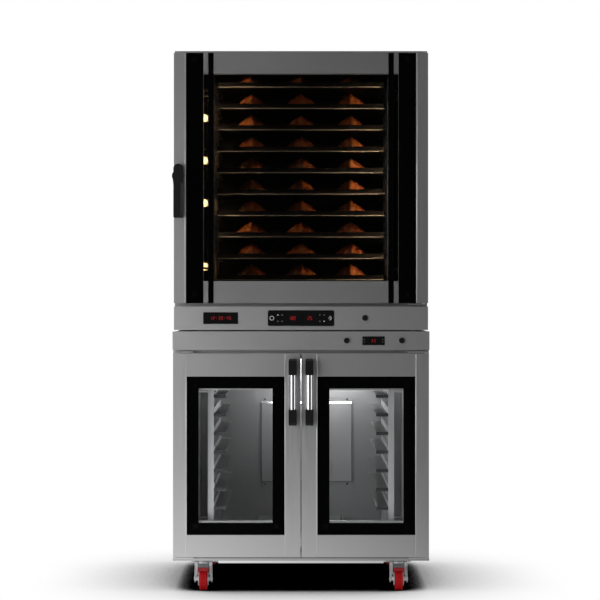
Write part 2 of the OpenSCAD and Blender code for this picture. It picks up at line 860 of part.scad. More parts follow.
// Centrifugal fan wheel: back disc, curved blades, front ring, hub and shaft
module fan_wheel(z) {
    disc_t = 2;
    translate([0, fan_y[1], z]) rotate([90, 0, 0]) {
        linear_extrude(height = disc_t) difference() {
            circle(r = fan_r);
            for (a = [0:60:300]) rotate(a) translate([fan_r * 0.35, 0]) circle(r = fan_r * 0.08);
        }
        linear_extrude(height = fan_w)
            for (i = [0:blade_count - 1]) rotate(i * 360 / blade_count) blade_outline();
        translate([0, 0, fan_w - disc_t]) linear_extrude(height = disc_t) difference() {
            circle(r = fan_r);
            circle(r = fan_r * 0.72);
        }
        cylinder(r = shaft_r * 2.2, h = fan_w * 0.5);
        cylinder(r1 = shaft_r * 2.2, r2 = shaft_r, h = fan_w * 0.75);
    }
    rod_y(0, z, shaft_r, [fan_y[0] + fan_w / 2, motor_y + motor_l - 22]);
}

module upper_fan() color(steel) fan_wheel(fan_zs[0]);
module lower_fan() color(steel) fan_wheel(fan_zs[1]);

// Proofer casing: sides, top deck and front frame round the chamber's mouth
module proofer_casing() {
    color(steel) difference() {
        block([-cabinet_x, cabinet_x], [proofer_y, rear_y], [base_z + plate_t, proofer_top_z]);
        block([-cabinet_x + sheet_t, cabinet_x - sheet_t], [proofer_y + sheet_t, rear_y + 1],
              [base_z, proofer_top_z - sheet_t]);
        front_extrude([proofer_y - 1, proofer_y + sheet_t + 1])
            round_area([-proof_x, proof_x], proof_z, 6);
    }
}

module proofer_rear_panel() {
    vent_z = base_z + 120;
    color(steel) {
        difference() {
            block([-cabinet_x, cabinet_x], [rear_y, back_y], [base_z + plate_t, proofer_top_z]);
            louvre_slots(0, vent_z, 8);
        }
        louvre_hoods(0, vent_z, 8);
    }
}

// Proofer chamber liner, open at the front
module proofer_chamber() {
    color(dark_steel) difference() {
        block([-proof_x - sheet_t, proof_x + sheet_t],
              [proofer_y + sheet_t, proof_back + sheet_t],
              [proof_z[0] - sheet_t, proof_z[1] + sheet_t]);
        block([-proof_x, proof_x], [proofer_y, proof_back], proof_z);
    }
}

// Swivel head of a castor under the base: plate, ball race, king pin and nut
module castor_head(x, y) {
    block(about(x, 90), about(y, 80), [base_z - plate_t, base_z]);
    rod_z(x, y, 24, [base_z - plate_t - race_h, base_z - plate_t]);
    rod_z(x, y, king_r, [crown_z[0] - 2, base_z - plate_t]);
    translate([x, y, crown_z[0] - 7]) cylinder(r = 9, h = 7 - gap, $fn = 6);
    for (dx = [-37, 37], dy = [-32, 32])
        translate([x + dx, y + dy, base_z - plate_t - 4]) cylinder(r = 5, h = 4, $fn = 6);
}

// Base pan with its front lip, carrying the four castor heads
module proofer_base() {
    lip_y = face_y + 20;
    color(steel) {
        block([-cabinet_x, cabinet_x], [proofer_y, back_y], [base_z, base_z + plate_t]);
        difference() {
            block([-cabinet_x, cabinet_x], [lip_y, proofer_y], [base_z, base_z + 9]);
            block([-cabinet_x + sheet_t, cabinet_x - sheet_t], [lip_y + sheet_t, proofer_y + 1],
                  [base_z + plate_t, base_z + 9 - sheet_t]);
        }
        for (x = [-castor_x, castor_x], y = [front_castor_y, rear_castor_y]) castor_head(x, y);
    }
}

// One side of the proofer rack: three posts with an L-shaped runner at each level
module proofer_rack_side() {
    runner_y = [post_ys[0] - 10, post_ys[2] + 10];
    for (y = post_ys) {
        block([post_x, post_x + post_w], about(y, post_w), [proof_z[0], proof_z[0] + post_h]);
        for (z = [proof_z[0] + 40, proof_z[0] + post_h - 40])
            rod_x(y, z, 6, [post_x + post_w, proof_x]);
    }
    for (i = [0:runner_count - 1]) {
        z = top_runner_z - i * runner_pitch;
        block([post_x - ledge_w, post_x], runner_y, [z - ledge_t, z]);
        block([post_x - ledge_t, post_x], runner_y, [z, z + 20]);
    }
}

module proofer_racks() {
    color([0.8, 0.8, 0.8]) both_sides() proofer_rack_side();
}

// Cover of the heater duct on the back wall, with four screws
module heater_cover() {
    cover_x = about(cover_at, cover_w);
    color([0.82, 0.82, 0.82]) {
        difference() {
            block(cover_x, [proof_back - cover_t, proof_back], cover_z);
            block([cover_x[0] + sheet_t, cover_x[1] - sheet_t],
                  [proof_back - cover_t + sheet_t, proof_back + 1],
                  [cover_z[0] + sheet_t, cover_z[1] - sheet_t]);
            for (i = [0:5])
                block(about(cover_at, 200), [proof_back - cover_t - 1, proof_back - cover_t + sheet_t + 1],
                      about(cover_z[0] + 30 + i * 10, 4));
        }
        for (x = [cover_x[0] + 14, cover_x[1] - 14], z = [cover_z[0] + 12, cover_z[1] - 12])
            rod_y(x, z, 4, [proof_back - cover_t - 2.5, proof_back - cover_t]);
    }
}

// Water basin on the floor with its heater loop
module water_basin() {
    loop_y = basin_y[0] + 60;
    color([0.74, 0.74, 0.75]) translate([0, 0, proof_z[0]]) difference() {
        linear_extrude(height = basin_h) round_area([-basin_x, basin_x], basin_y, 14);
        translate([0, 0, sheet_t]) linear_extrude(height = basin_h)
            round_area([-basin_x + sheet_t, basin_x - sheet_t],
                       [basin_y[0] + sheet_t, basin_y[1] - sheet_t], 12);
    }
    color([0.35, 0.3, 0.28]) {
        for (x = [-loop_x, loop_x]) rod_y(x, loop_z, loop_r, [loop_y, basin_y[1] - sheet_t]);
        rod_x(loop_y, loop_z, loop_r, [-loop_x, loop_x]);
        for (x = [-loop_x, loop_x]) translate([x, loop_y, loop_z]) sphere(r = loop_r);
    }
}

// Gasket round the mouth of the proofer
module proofer_gasket() {
    color(black) front_extrude([face_y + proofer_door_t + gap, proofer_y]) difference() {
        round_area([-proof_x - 14, proof_x + 14], [proof_z[0] - 14, proof_z[1] + 14], 12);
        round_area([-proof_x - 2, proof_x + 2], [proof_z[0] - 2, proof_z[1] + 2], 6);
    }
}

// Proofer door frame, drawn for the right door: hollow stiles and rails round the window
module proofer_frame() {
    wall = 2;
    front = pane_y[1] + border_t;
    back = proofer_door_y[1];
    lip = 5.5;
    difference() {
        union() {
            difference() {
                union() {
                    block(proofer_door_x, [front, back], proofer_door_z);
                    block([proofer_door_x[0], pane_x[0] - gap], [face_y, front + 1], proofer_door_z);
                    block([pane_x[1] + gap, proofer_door_x[1]], [face_y, front + 1], proofer_door_z);
                    block([pane_x[0] - 1, pane_x[1] + 1], [face_y + 1, front + 1],
                          [proofer_door_z[0], pane_z[0] - gap]);
                    block([pane_x[0] - 1, pane_x[1] + 1], [face_y + 1, front + 1],
                          [pane_z[1] + gap, proofer_door_z[1]]);
                }
                for (x = [[proofer_door_x[0] + wall, clear_x[0] - wall],
                          [clear_x[1] + wall, proofer_door_x[1] - wall]])
                    block(x, [front + wall, back - wall],
                          [proofer_door_z[0] + wall, proofer_door_z[1] - wall]);
                for (z = [[proofer_door_z[0] + wall, clear_z[0] - wall],
                          [clear_z[1] + wall, proofer_door_z[1] - wall]])
                    block([clear_x[0] - wall - 1, clear_x[1] + wall + 1],
                          [front + wall, back - wall], z);
            }
            for (z = [proofer_door_z[0], proofer_door_z[1] - pin_l - 4])
                rod_z(proofer_pin[0], proofer_pin[1], pin_r + 3, [z, z + pin_l + 4]);
        }
        block(clear_x, [front - 1, front + 12], clear_z);
        block(clear_x, [front - 1, back + 1], [clear_z[0] + lip, clear_z[1] - lip]);
        for (z = [proofer_door_z[0] - 1, proofer_door_z[1] - pin_l - 1])
            rod_z(proofer_pin[0], proofer_pin[1], pin_r + fit, [z, z + pin_l + 2]);
        rod_z(proofer_pin[0] - 40, proofer_pin[1], 3, [proofer_door_z[0] - 1, proofer_door_z[0] + 3]);
    }
}

module proofer_glass() {
    block(pane_x, pane_y, pane_z);
}

// Black border behind the pane and the four caps of its fixings
module proofer_border() {
    cap_inset = [30, 30.5];
    front_extrude([pane_y[1], pane_y[1] + border_t]) difference() {
        area(pane_x, pane_z);
        area(clear_x, clear_z);
    }
    for (x = [pane_x[0] + cap_inset[0], pane_x[1] - cap_inset[0]],
         z = [pane_z[0] + cap_inset[1], pane_z[1] - cap_inset[1]])
        rod_y(x, z, 9, [pane_y[0] - 1.5, pane_y[0]]);
}

// Steel handle bar, its ends in the sockets of the handle ends
module handle_bar() {
    middle = (handle_z[0] + handle_z[1]) / 2;
    rod_z(handle_x, bar_y, bar_r,
          [middle - bar_l / 2 - bar_socket + seat_gap, middle + bar_l / 2 + bar_socket - seat_gap]);
}

// Plastic handle end: rounded bracket from the door face out to the bar
module handle_end() {
    round = 12;
    difference() {
        intersection() {
            front_extrude([face_y - handle_reach, face_y])
                round_area(about(handle_x, handle_end_w), [0, handle_end_h], 4);
            side_extrude([handle_x - handle_end_w, handle_x + handle_end_w]) union() {
                area([face_y - handle_reach, face_y], [0, handle_end_h - round]);
                area([face_y - handle_reach + round, face_y], [0, handle_end_h]);
                translate([face_y - handle_reach + round, handle_end_h - round])
                    circle(r = round);
            }
        }
        rod_z(handle_x, bar_y, bar_r + fit, [-1, bar_socket]);
    }
}

module handle_ends() {
    middle = (handle_z[0] + handle_z[1]) / 2;
    translate([0, 0, middle + bar_l / 2]) handle_end();
    translate([0, 0, middle - bar_l / 2]) mirror([0, 0, 1]) handle_end();
}

module right_door_frame() color(steel) proofer_frame();
module right_door_glass() color(clear_glass) proofer_glass();
module right_glass_border() color(black) proofer_border();
module right_handle_bar() color([0.85, 0.85, 0.86]) handle_bar();
module right_handle_ends() color(black) handle_ends();
module left_door_frame() mirror([1, 0, 0]) right_door_frame();
module left_door_glass() mirror([1, 0, 0]) right_door_glass();
module left_glass_border() mirror([1, 0, 0]) right_glass_border();
module left_handle_bar() mirror([1, 0, 0]) right_handle_bar();
module left_handle_ends() mirror([1, 0, 0]) right_handle_ends();

// Castor fork, drawn with its wheel towards -Y: crown, tapered legs, flanges, guards and axle
module fork(braked) {
    leg_x = [fork_w / 2 - leg_t, fork_w / 2];
    crown_r = leg_x[0];
    foot = [-castor_trail, wheel_r];
    foot_r = 13;
    guard_x = wheel_w / 2 + 1;
    difference() {
        union() {
            rod_z(0, 0, crown_r + 1, crown_z);
            both_sides() {
                side_extrude(leg_x) {
                    translate(foot) circle(r = foot_r);
                    polygon([[-24, crown_z[1]], [24, crown_z[1]], [22, crown_z[0] - 4],
                             [foot[0] + foot_r - 2, foot[1] - 6], [foot[0] - foot_r, foot[1]],
                             [-26, crown_z[0] - 6]]);
                }
                front_extrude([-26, -23])
                    polygon([[leg_x[1] - flange_w, crown_z[1]], [leg_x[1] - 0.5, crown_z[1]],
                             [leg_x[1] - 0.5, wheel_r + 14], [leg_x[1] - 5, wheel_r + 2],
                             [leg_x[1] - flange_w, wheel_r + 16]]);
                rod_x(foot[0], foot[1], 7, [leg_x[1], leg_x[1] + 1.5]);
                rod_x(foot[0], foot[1], 8, [guard_x, leg_x[0]]);
                rod_x(foot[0], foot[1], guard_r, [guard_x, guard_x + guard_t]);
            }
            rod_x(foot[0], foot[1], axle_r, [-leg_x[0], leg_x[0]]);
            if (braked)
                rod_x(pedal_pivot[0], pedal_pivot[1], pedal_pin_r, [-leg_x[0], leg_x[0]]);
        }
        rod_z(0, 0, king_r + fit, [crown_z[0] - 1, crown_z[1] + 1]);
    }
}

// Castor wheel: ribbed tread, dished sides and a long hub on the axle
module castor_wheel() {
    half = wheel_w / 2;
    hub_r = 13;
    translate([0, -castor_trail, wheel_r]) rotate([0, 90, 0]) rotate_extrude()
        polygon([[axle_r + fit, -half], [hub_r, -half], [hub_r + 1, -half + 4],
                 [wheel_r - 11, -half + 4], [wheel_r - 9, -half + 1], [wheel_r - 3, -half + 0.5],
                 [wheel_r - 0.5, -half + 2.5], [wheel_r, -half + 5], [wheel_r, -5.5],
                 [wheel_r - 1.6, -4.5], [wheel_r - 1.6, -3.5], [wheel_r, -2.5],
                 [wheel_r, 2.5], [wheel_r - 1.6, 3.5], [wheel_r - 1.6, 4.5], [wheel_r, 5.5],
                 [wheel_r, half - 5], [wheel_r - 0.5, half - 2.5], [wheel_r - 3, half - 0.5],
                 [wheel_r - 9, half - 1], [wheel_r - 11, half - 4], [hub_r + 1, half - 4],
                 [hub_r, half], [axle_r + fit, half]]);
}

// Brake pedal: curved shoe over the wheel, hinged on a pin in the fork
module brake_pedal() {
    inner = wheel_r + pedal_clear;
    outer = inner + pedal_t;
    hub_r = 5.5;
    tip = [-castor_trail - outer * cos(40), wheel_r + outer * sin(40)];
    difference() {
        union() {
            side_extrude(about(0, pedal_w)) {
                translate([-castor_trail, wheel_r]) intersection() {
                    difference() {
                        circle(r = outer);
                        circle(r = inner);
                    }
                    polygon([[0, 0], [-2 * outer * cos(40), 2 * outer * sin(40)],
                             [-outer, 2 * outer], [outer * 0.36, 2 * outer]]);
                }
                area([tip[0] - 1, tip[0] + 3], [tip[1], tip[1] + 11]);
            }
            rod_x(pedal_pivot[0], pedal_pivot[1], hub_r, about(0, pedal_w));
        }
        rod_x(pedal_pivot[0], pedal_pivot[1], pedal_pin_r + fit, about(0, pedal_w + 2));
    }
}

module at_castor(side, rear) {
    translate([side * castor_x, rear ? rear_castor_y : front_castor_y, 0]) children();
}

module front_left_fork() color(steel) at_castor(-1, false) fork(true);
module front_right_fork() color(steel) at_castor(1, false) fork(true);
module rear_left_fork() color(steel) at_castor(-1, true) fork(false);
module rear_right_fork() color(steel) at_castor(1, true) fork(false);
module front_left_wheel() color(red) at_castor(-1, false) castor_wheel();
module front_right_wheel() color(red) at_castor(1, false) castor_wheel();
module rear_left_wheel() color(red) at_castor(-1, true) castor_wheel();
module rear_right_wheel() color(red) at_castor(1, true) castor_wheel();
module left_brake_pedal() color(red) at_castor(-1, false) brake_pedal();
module right_brake_pedal() color(red) at_castor(1, false) brake_pedal();

oven_casing();
oven_rear_cover();
oven_base();
oven_chamber();
oven_front_frame();
oven_gasket();
oven_racks();
baking_trays();
fan_baffle();
heating_elements();
fan_motors();
oven_lamps();
exhaust_flue();
upper_fascia();
status_display();
main_panel();
door_hinges();
latch_keeper();
water_inlet();
cable_gland();
oven_door_frame();
oven_outer_glass();
oven_glass_border();
oven_inner_glass();
door_lever();
upper_fan();
lower_fan();
oven_button();
lower_fascia();
proofer_thermostat();
proofer_casing();
proofer_rear_panel();
proofer_chamber();
proofer_base();
proofer_racks();
heater_cover();
water_basin();
proofer_gasket();
left_door_frame();
left_door_glass();
left_glass_border();
left_handle_bar();
left_handle_ends();
right_door_frame();
right_door_glass();
right_glass_border();
right_handle_bar();
right_handle_ends();
power_button();
set_button();
front_left_fork();
front_right_fork();
rear_left_fork();
rear_right_fork();
front_left_wheel();
front_right_wheel();
rear_left_wheel();
rear_right_wheel();
left_brake_pedal();
right_brake_pedal();
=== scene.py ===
import json
import math
import random

import bmesh
import bpy
from mathutils import Matrix, Vector


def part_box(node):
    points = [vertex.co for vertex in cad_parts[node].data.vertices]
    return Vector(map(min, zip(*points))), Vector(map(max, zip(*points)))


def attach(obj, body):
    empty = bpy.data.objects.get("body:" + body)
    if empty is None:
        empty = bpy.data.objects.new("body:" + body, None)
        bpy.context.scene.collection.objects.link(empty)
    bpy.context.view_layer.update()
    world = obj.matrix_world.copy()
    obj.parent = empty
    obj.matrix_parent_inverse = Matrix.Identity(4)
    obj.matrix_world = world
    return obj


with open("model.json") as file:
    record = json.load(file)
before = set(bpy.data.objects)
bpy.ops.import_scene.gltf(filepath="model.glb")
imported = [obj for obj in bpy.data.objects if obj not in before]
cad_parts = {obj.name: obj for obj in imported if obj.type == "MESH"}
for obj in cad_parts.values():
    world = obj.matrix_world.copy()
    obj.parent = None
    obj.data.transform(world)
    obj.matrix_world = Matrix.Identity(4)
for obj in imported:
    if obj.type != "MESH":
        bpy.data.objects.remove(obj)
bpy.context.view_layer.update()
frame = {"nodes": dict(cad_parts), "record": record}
nodes = frame["nodes"]
print("frame loaded:", len(nodes), "parts")

mm = 0.001  # the sizes below are given in millimetres


# Small helpers for node trees

def newMaterial(name):
    material = bpy.data.materials.new(name)
    material.use_nodes = True
    tree = material.node_tree
    return material, tree, tree.nodes["Principled BSDF"]


def addNode(tree, kind, **settings):
    node = tree.nodes.new("ShaderNode" + kind)
    for key, value in settings.items():
        if hasattr(node, key):
            setattr(node, key, value)
        else:
            node.inputs[key].default_value = value
    return node


evenly = (1, 1, 1)  # stretch of a noise field that has no direction
fieldRoughness = 0.55
fieldSpan = (0.3, 0.7)  # between these lie most of a noise field's values


def grainField(tree, stretch, scale, detail):
    # noise in object space, drawn out along one axis by a small stretch value there
    coords = addNode(tree, "TexCoord")
    mapping = addNode(tree, "Mapping")
    mapping.inputs["Scale"].default_value = stretch
    field = addNode(tree, "TexNoise", Scale=scale, Detail=detail, Roughness=fieldRoughness)
    tree.links.new(coords.outputs["Object"], mapping.inputs["Vector"])
    tree.links.new(mapping.outputs["Vector"], field.inputs["Vector"])
    return field.outputs["Fac"]


def mapRange(tree, value, source, target, **settings):
    node = addNode(tree, "MapRange", **settings)
    for name, number in zip(("From Min", "From Max", "To Min", "To Max"), (*source, *target)):
        node.inputs[name].default_value = number
    tree.links.new(value, node.inputs["Value"])
    return node.outputs["Result"]


def spread(tree, field, low, high):
    # maps a noise field onto a range of roughness, height or mix
    return mapRange(tree, field, fieldSpan, (low, high))


def blendColours(tree, value, first, second):
    node = addNode(tree, "Mix", data_type="RGBA")
    tree.links.new(value, node.inputs[0])
    node.inputs[6].default_value = (*first, 1)
    node.inputs[7].default_value = (*second, 1)
    return node.outputs[2]


def addBump(tree, shader, height, strength, depth):
    node = addNode(tree, "Bump", Strength=strength, Distance=depth)
    tree.links.new(height, node.inputs["Height"])
    tree.links.new(node.outputs["Normal"], shader.inputs["Normal"])


def scaled(colour, factor):
    return tuple(min(1.0, c * factor) for c in colour)


def mottled(tree, field, colour, low, high):
    # a colour that a noise field makes a little darker and paler
    return blendColours(tree, field, scaled(colour, low), scaled(colour, high))


def colourRamp(tree, value, stops):
    # stops are (position, colour), from the first to the last
    ramp = addNode(tree, "ValToRGB")
    marks = ramp.color_ramp.elements
    marks[0].position, marks[1].position = stops[0][0], stops[-1][0]
    for position, _ in stops[1:-1]:
        marks.new(position)
    for mark, (_, colour) in zip(marks, stops):
        mark.color = (*colour, 1)
    tree.links.new(value, ramp.inputs["Fac"])
    return ramp.outputs["Color"]


# Metals

steelLook = {
    "colour": (0.60, 0.60, 0.605),
    "roughness": (0.36, 0.44),
    "grain": 0.012,  # stretch along the brushing
    "brushScale": 900.0,
    "brushStrength": 0.25,
    "brushDepth": 0.00003,
    "cloudScale": 3.0,
    "clouds": (0.96, 1.04),
    "upward": (0.5, 0.8),  # between these a face passes from upright to looking up, as the cosine
}


def paintShadeOnTops(tree, colour, share):
    # painted shade: faces that look upwards are drawn darker than the rest
    geometry = addNode(tree, "NewGeometry")
    split = addNode(tree, "SeparateXYZ")
    dimmed = addNode(tree, "VectorMath", operation="SCALE")
    tree.links.new(geometry.outputs["Normal"], split.inputs[0])
    tree.links.new(colour, dimmed.inputs[0])
    factor = mapRange(tree, split.outputs["Z"], steelLook["upward"], (1.0, share))
    tree.links.new(factor, dimmed.inputs["Scale"])
    return dimmed.outputs["Vector"]


def brushedSteel(name, grain="x", shade=1.0, shine=0.0, tops=1.0):
    # sheet with a fine brushed grain along one axis, and faint clouds from wiping
    # shade gives lighter or darker copies of it: painted light and shade for how light falls on
    # each part
    material, tree, shader = newMaterial(name)
    stretch = [steelLook["grain"] if axis == grain else 1 for axis in "xyz"]
    brush = grainField(tree, stretch, steelLook["brushScale"], 2.0)
    clouds = grainField(tree, evenly, steelLook["cloudScale"], 3.0)
    tint = mottled(tree, clouds, scaled(steelLook["colour"], shade), *steelLook["clouds"])
    # painted shade on the faces that look up, where tops is below 1
    if tops < 1.0:
        tint = paintShadeOnTops(tree, tint, tops)
    tree.links.new(tint, shader.inputs["Base Color"])
    shader.inputs["Metallic"].default_value = 1.0
    low, high = steelLook["roughness"]
    tree.links.new(spread(tree, brush, low - shine, high - shine), shader.inputs["Roughness"])
    addBump(tree, shader, brush, steelLook["brushStrength"], steelLook["brushDepth"])
    return material


def polishedSteel(name):
    material, tree, shader = newMaterial(name)
    marks = grainField(tree, evenly, 60.0, 3.0)
    shader.inputs["Base Color"].default_value = (0.78, 0.78, 0.79, 1)
    shader.inputs["Metallic"].default_value = 1.0
    tree.links.new(spread(tree, marks, 0.10, 0.18), shader.inputs["Roughness"])
    return material


def zincPlate(name):
    # bright plated fittings and screws, slightly mottled
    material, tree, shader = newMaterial(name)
    mottle = grainField(tree, evenly, 120.0, 4.0)
    tint = blendColours(tree, mottle, (0.74, 0.74, 0.73), (0.86, 0.86, 0.87))
    tree.links.new(tint, shader.inputs["Base Color"])
    shader.inputs["Metallic"].default_value = 0.9
    tree.links.new(spread(tree, mottle, 0.26, 0.4), shader.inputs["Roughness"])
    return material


mottleScale = 140.0


def mottledMetal(name, dull, pale, metal, roughness):
    # metal with a dull surface: the castors' blue-white plating, or bare steel worn by use
    material, tree, shader = newMaterial(name)
    mottle = grainField(tree, evenly, mottleScale, 4.0)
    tree.links.new(blendColours(tree, mottle, dull, pale), shader.inputs["Base Color"])
    shader.inputs["Metallic"].default_value = metal
    tree.links.new(spread(tree, mottle, *roughness), shader.inputs["Roughness"])
    return material


dippedLook = {
    "red": (0.30, 0.004, 0.008),
    "dull": (0.40, 0.41, 0.42),
    "pale": (0.50, 0.51, 0.52),
    "metal": 0.5,  # of the bare part
    "roughness": (0.3, 0.42),
    "redTop": 82 * mm,  # height above the floor where the red ends
}


def dippedPedal(name, tipTop):
    # zinc pressing whose tip is dipped in red up to a height, given in the pedal's own coordinates
    material, tree, shader = newMaterial(name)
    mottle = grainField(tree, evenly, mottleScale, 4.0)
    coords = addNode(tree, "TexCoord")
    split = addNode(tree, "SeparateXYZ")
    above = addNode(tree, "Math", operation="GREATER_THAN")
    above.inputs[1].default_value = tipTop
    tree.links.new(coords.outputs["Object"], split.inputs[0])
    tree.links.new(split.outputs["Z"], above.inputs[0])
    mix = addNode(tree, "Mix", data_type="RGBA")
    tree.links.new(above.outputs[0], mix.inputs[0])
    red = mottled(tree, mottle, dippedLook["red"], 0.9, 1.1)
    bare = blendColours(tree, mottle, dippedLook["dull"], dippedLook["pale"])
    tree.links.new(red, mix.inputs[6])
    tree.links.new(bare, mix.inputs[7])
    tree.links.new(mix.outputs[2], shader.inputs["Base Color"])
    metal = addNode(tree, "Math", operation="MULTIPLY")
    metal.inputs[1].default_value = dippedLook["metal"]
    tree.links.new(above.outputs[0], metal.inputs[0])
    tree.links.new(metal.outputs[0], shader.inputs["Metallic"])
    tree.links.new(spread(tree, mottle, *dippedLook["roughness"]), shader.inputs["Roughness"])
    return material


def turnedBrass(name):
    material, tree, shader = newMaterial(name)
    marks = grainField(tree, (1, 0.1, 1), 400.0, 3.0)
    tint = blendColours(tree, marks, (0.66, 0.48, 0.22), (0.78, 0.60, 0.30))
    tree.links.new(tint, shader.inputs["Base Color"])
    shader.inputs["Metallic"].default_value = 1.0
    tree.links.new(spread(tree, marks, 0.22, 0.34), shader.inputs["Roughness"])
    return material


def coatedTray(name):
    # dark bake-on coating, worn paler here and there
    material, tree, shader = newMaterial(name)
    wear = grainField(tree, evenly, 14.0, 6.0)
    worn = spread(tree, wear, 0, 1)
    tint = blendColours(tree, worn, (0.030, 0.028, 0.026), (0.055, 0.050, 0.046))
    tree.links.new(tint, shader.inputs["Base Color"])
    shader.inputs["Metallic"].default_value = 0.7
    tree.links.new(spread(tree, wear, 0.34, 0.5), shader.inputs["Roughness"])
    return material


def heatedTube(name):
    # sheath of the heating elements, browned unevenly by the heat
    material, tree, shader = newMaterial(name)
    scale = grainField(tree, evenly, 35.0, 5.0)
    tint = blendColours(tree, spread(tree, scale, 0, 1), (0.10, 0.085, 0.08), (0.21, 0.17, 0.14))
    tree.links.new(tint, shader.inputs["Base Color"])
    shader.inputs["Metallic"].default_value = 0.6
    shader.inputs["Roughness"].default_value = 0.5
    addBump(tree, shader, scale, 0.2, 0.0002)
    return material


def paintedMetal(name, colour):
    material, tree, shader = newMaterial(name)
    peel = grainField(tree, evenly, 260.0, 3.0)
    tint = mottled(tree, peel, colour, 0.9, 1.1)
    tree.links.new(tint, shader.inputs["Base Color"])
    shader.inputs["Roughness"].default_value = 0.42
    addBump(tree, shader, peel, 0.3, 0.0001)
    return material


# Plastics, rubber and glass

def mouldedPlastic(name, colour, roughness, pimple=700.0, specular=0.5):
    # fine moulded texture, a touch uneven in shine
    material, tree, shader = newMaterial(name)
    texture = grainField(tree, evenly, pimple, 2.0)
    wear = grainField(tree, evenly, 9.0, 4.0)
    tree.links.new(mottled(tree, wear, colour, 0.88, 1.12), shader.inputs["Base Color"])
    shine = spread(tree, wear, roughness - 0.05, roughness + 0.06)
    tree.links.new(shine, shader.inputs["Roughness"])
    shader.inputs["Specular IOR Level"].default_value = specular
    addBump(tree, shader, texture, 0.25, 0.00008)
    return material


def glossBlack(name, colour, roughness, specular):
    # black acrylic window or printed border, with a trace of dust in its shine
    material, tree, shader = newMaterial(name)
    dust = grainField(tree, evenly, 45.0, 5.0)
    shader.inputs["Base Color"].default_value = (*colour, 1)
    tree.links.new(spread(tree, dust, roughness, roughness + 0.05), shader.inputs["Roughness"])
    shader.inputs["Specular IOR Level"].default_value = specular
    return material


def softRubber(name, colour):
    material, tree, shader = newMaterial(name)
    bloom = grainField(tree, evenly, 30.0, 5.0)
    tree.links.new(mottled(tree, bloom, colour, 0.8, 1.3), shader.inputs["Base Color"])
    tree.links.new(spread(tree, bloom, 0.5, 0.66), shader.inputs["Roughness"])
    return material


paneBend = 1.12  # refraction, set lower than that of glass so that the panes mirror little


def clearPane(name, tint):
    # real glass for the eye, and open to the lamps so that what is behind it is lit
    material, tree, shader = newMaterial(name)
    shader.inputs["Base Color"].default_value = (*tint, 1)
    shader.inputs["Roughness"].default_value = 0.0
    shader.inputs["IOR"].default_value = paneBend
    shader.inputs["Transmission Weight"].default_value = 1.0
    rays = addNode(tree, "LightPath")
    passing = addNode(tree, "BsdfTransparent")
    passing.inputs["Color"].default_value = (*tint, 1)
    mix = addNode(tree, "MixShader")
    tree.links.new(rays.outputs["Is Shadow Ray"], mix.inputs[0])
    tree.links.new(shader.outputs[0], mix.inputs[1])
    tree.links.new(passing.outputs[0], mix.inputs[2])
    tree.links.new(mix.outputs[0], tree.nodes["Material Output"].inputs["Surface"])
    return material


def glowing(name, colour, strength, body):
    # lens of a lamp or bar of a reading: a coloured body that gives off light of its own
    material, tree, shader = newMaterial(name)
    uneven = grainField(tree, evenly, 40.0, 3.0)
    tree.links.new(mottled(tree, uneven, body, 0.9, 1.0), shader.inputs["Base Color"])
    shader.inputs["Emission Color"].default_value = (*colour, 1)
    shader.inputs["Emission Strength"].default_value = strength
    shader.inputs["Roughness"].default_value = 0.3
    return material


finishes = {
    "stainless": brushedSteel("sheetSteelAcross", "x"),
    # the chamber's stainless drawn at a fifth of its brightness: painted shade for its unlit
    # inside, also used on the rack studs and the heater cover's dark strips
    "dark_steel": brushedSteel("chamberSteelPaintedShade", "z", 0.2),
    "polished_steel": polishedSteel("polishedTube"),
    "zinc_steel": zincPlate("zincPlate"),
    "tray_steel": coatedTray("coatedTray"),
    "element": heatedTube("heatedTube"),
    "motor_paint": paintedMetal("motorPaint", (0.12, 0.13, 0.15)),
    "black_plastic": mouldedPlastic("blackPlastic", (0.007, 0.007, 0.0075), 0.42, 700.0, 0.22),
    "black_gloss": glossBlack("blackWindow", (0.004, 0.004, 0.004), 0.08, 0.35),
    "border": glossBlack("printedBorder", (0.0015, 0.0015, 0.0015), 0.08, 0.2),
    "glass": clearPane("clearPane", (0.95, 0.96, 0.96)),
    "lamp_glass": glowing("warmLens", (1.0, 0.62, 0.27), 9.0, (0.9, 0.8, 0.6)),
    "seal": softRubber("siliconeSeal", (0.03, 0.03, 0.03)),
    "brass": turnedBrass("turnedBrass"),
    "castor_red": mouldedPlastic("redTread", (0.50, 0.003, 0.006), 0.38, 300.0, 0.3),
}
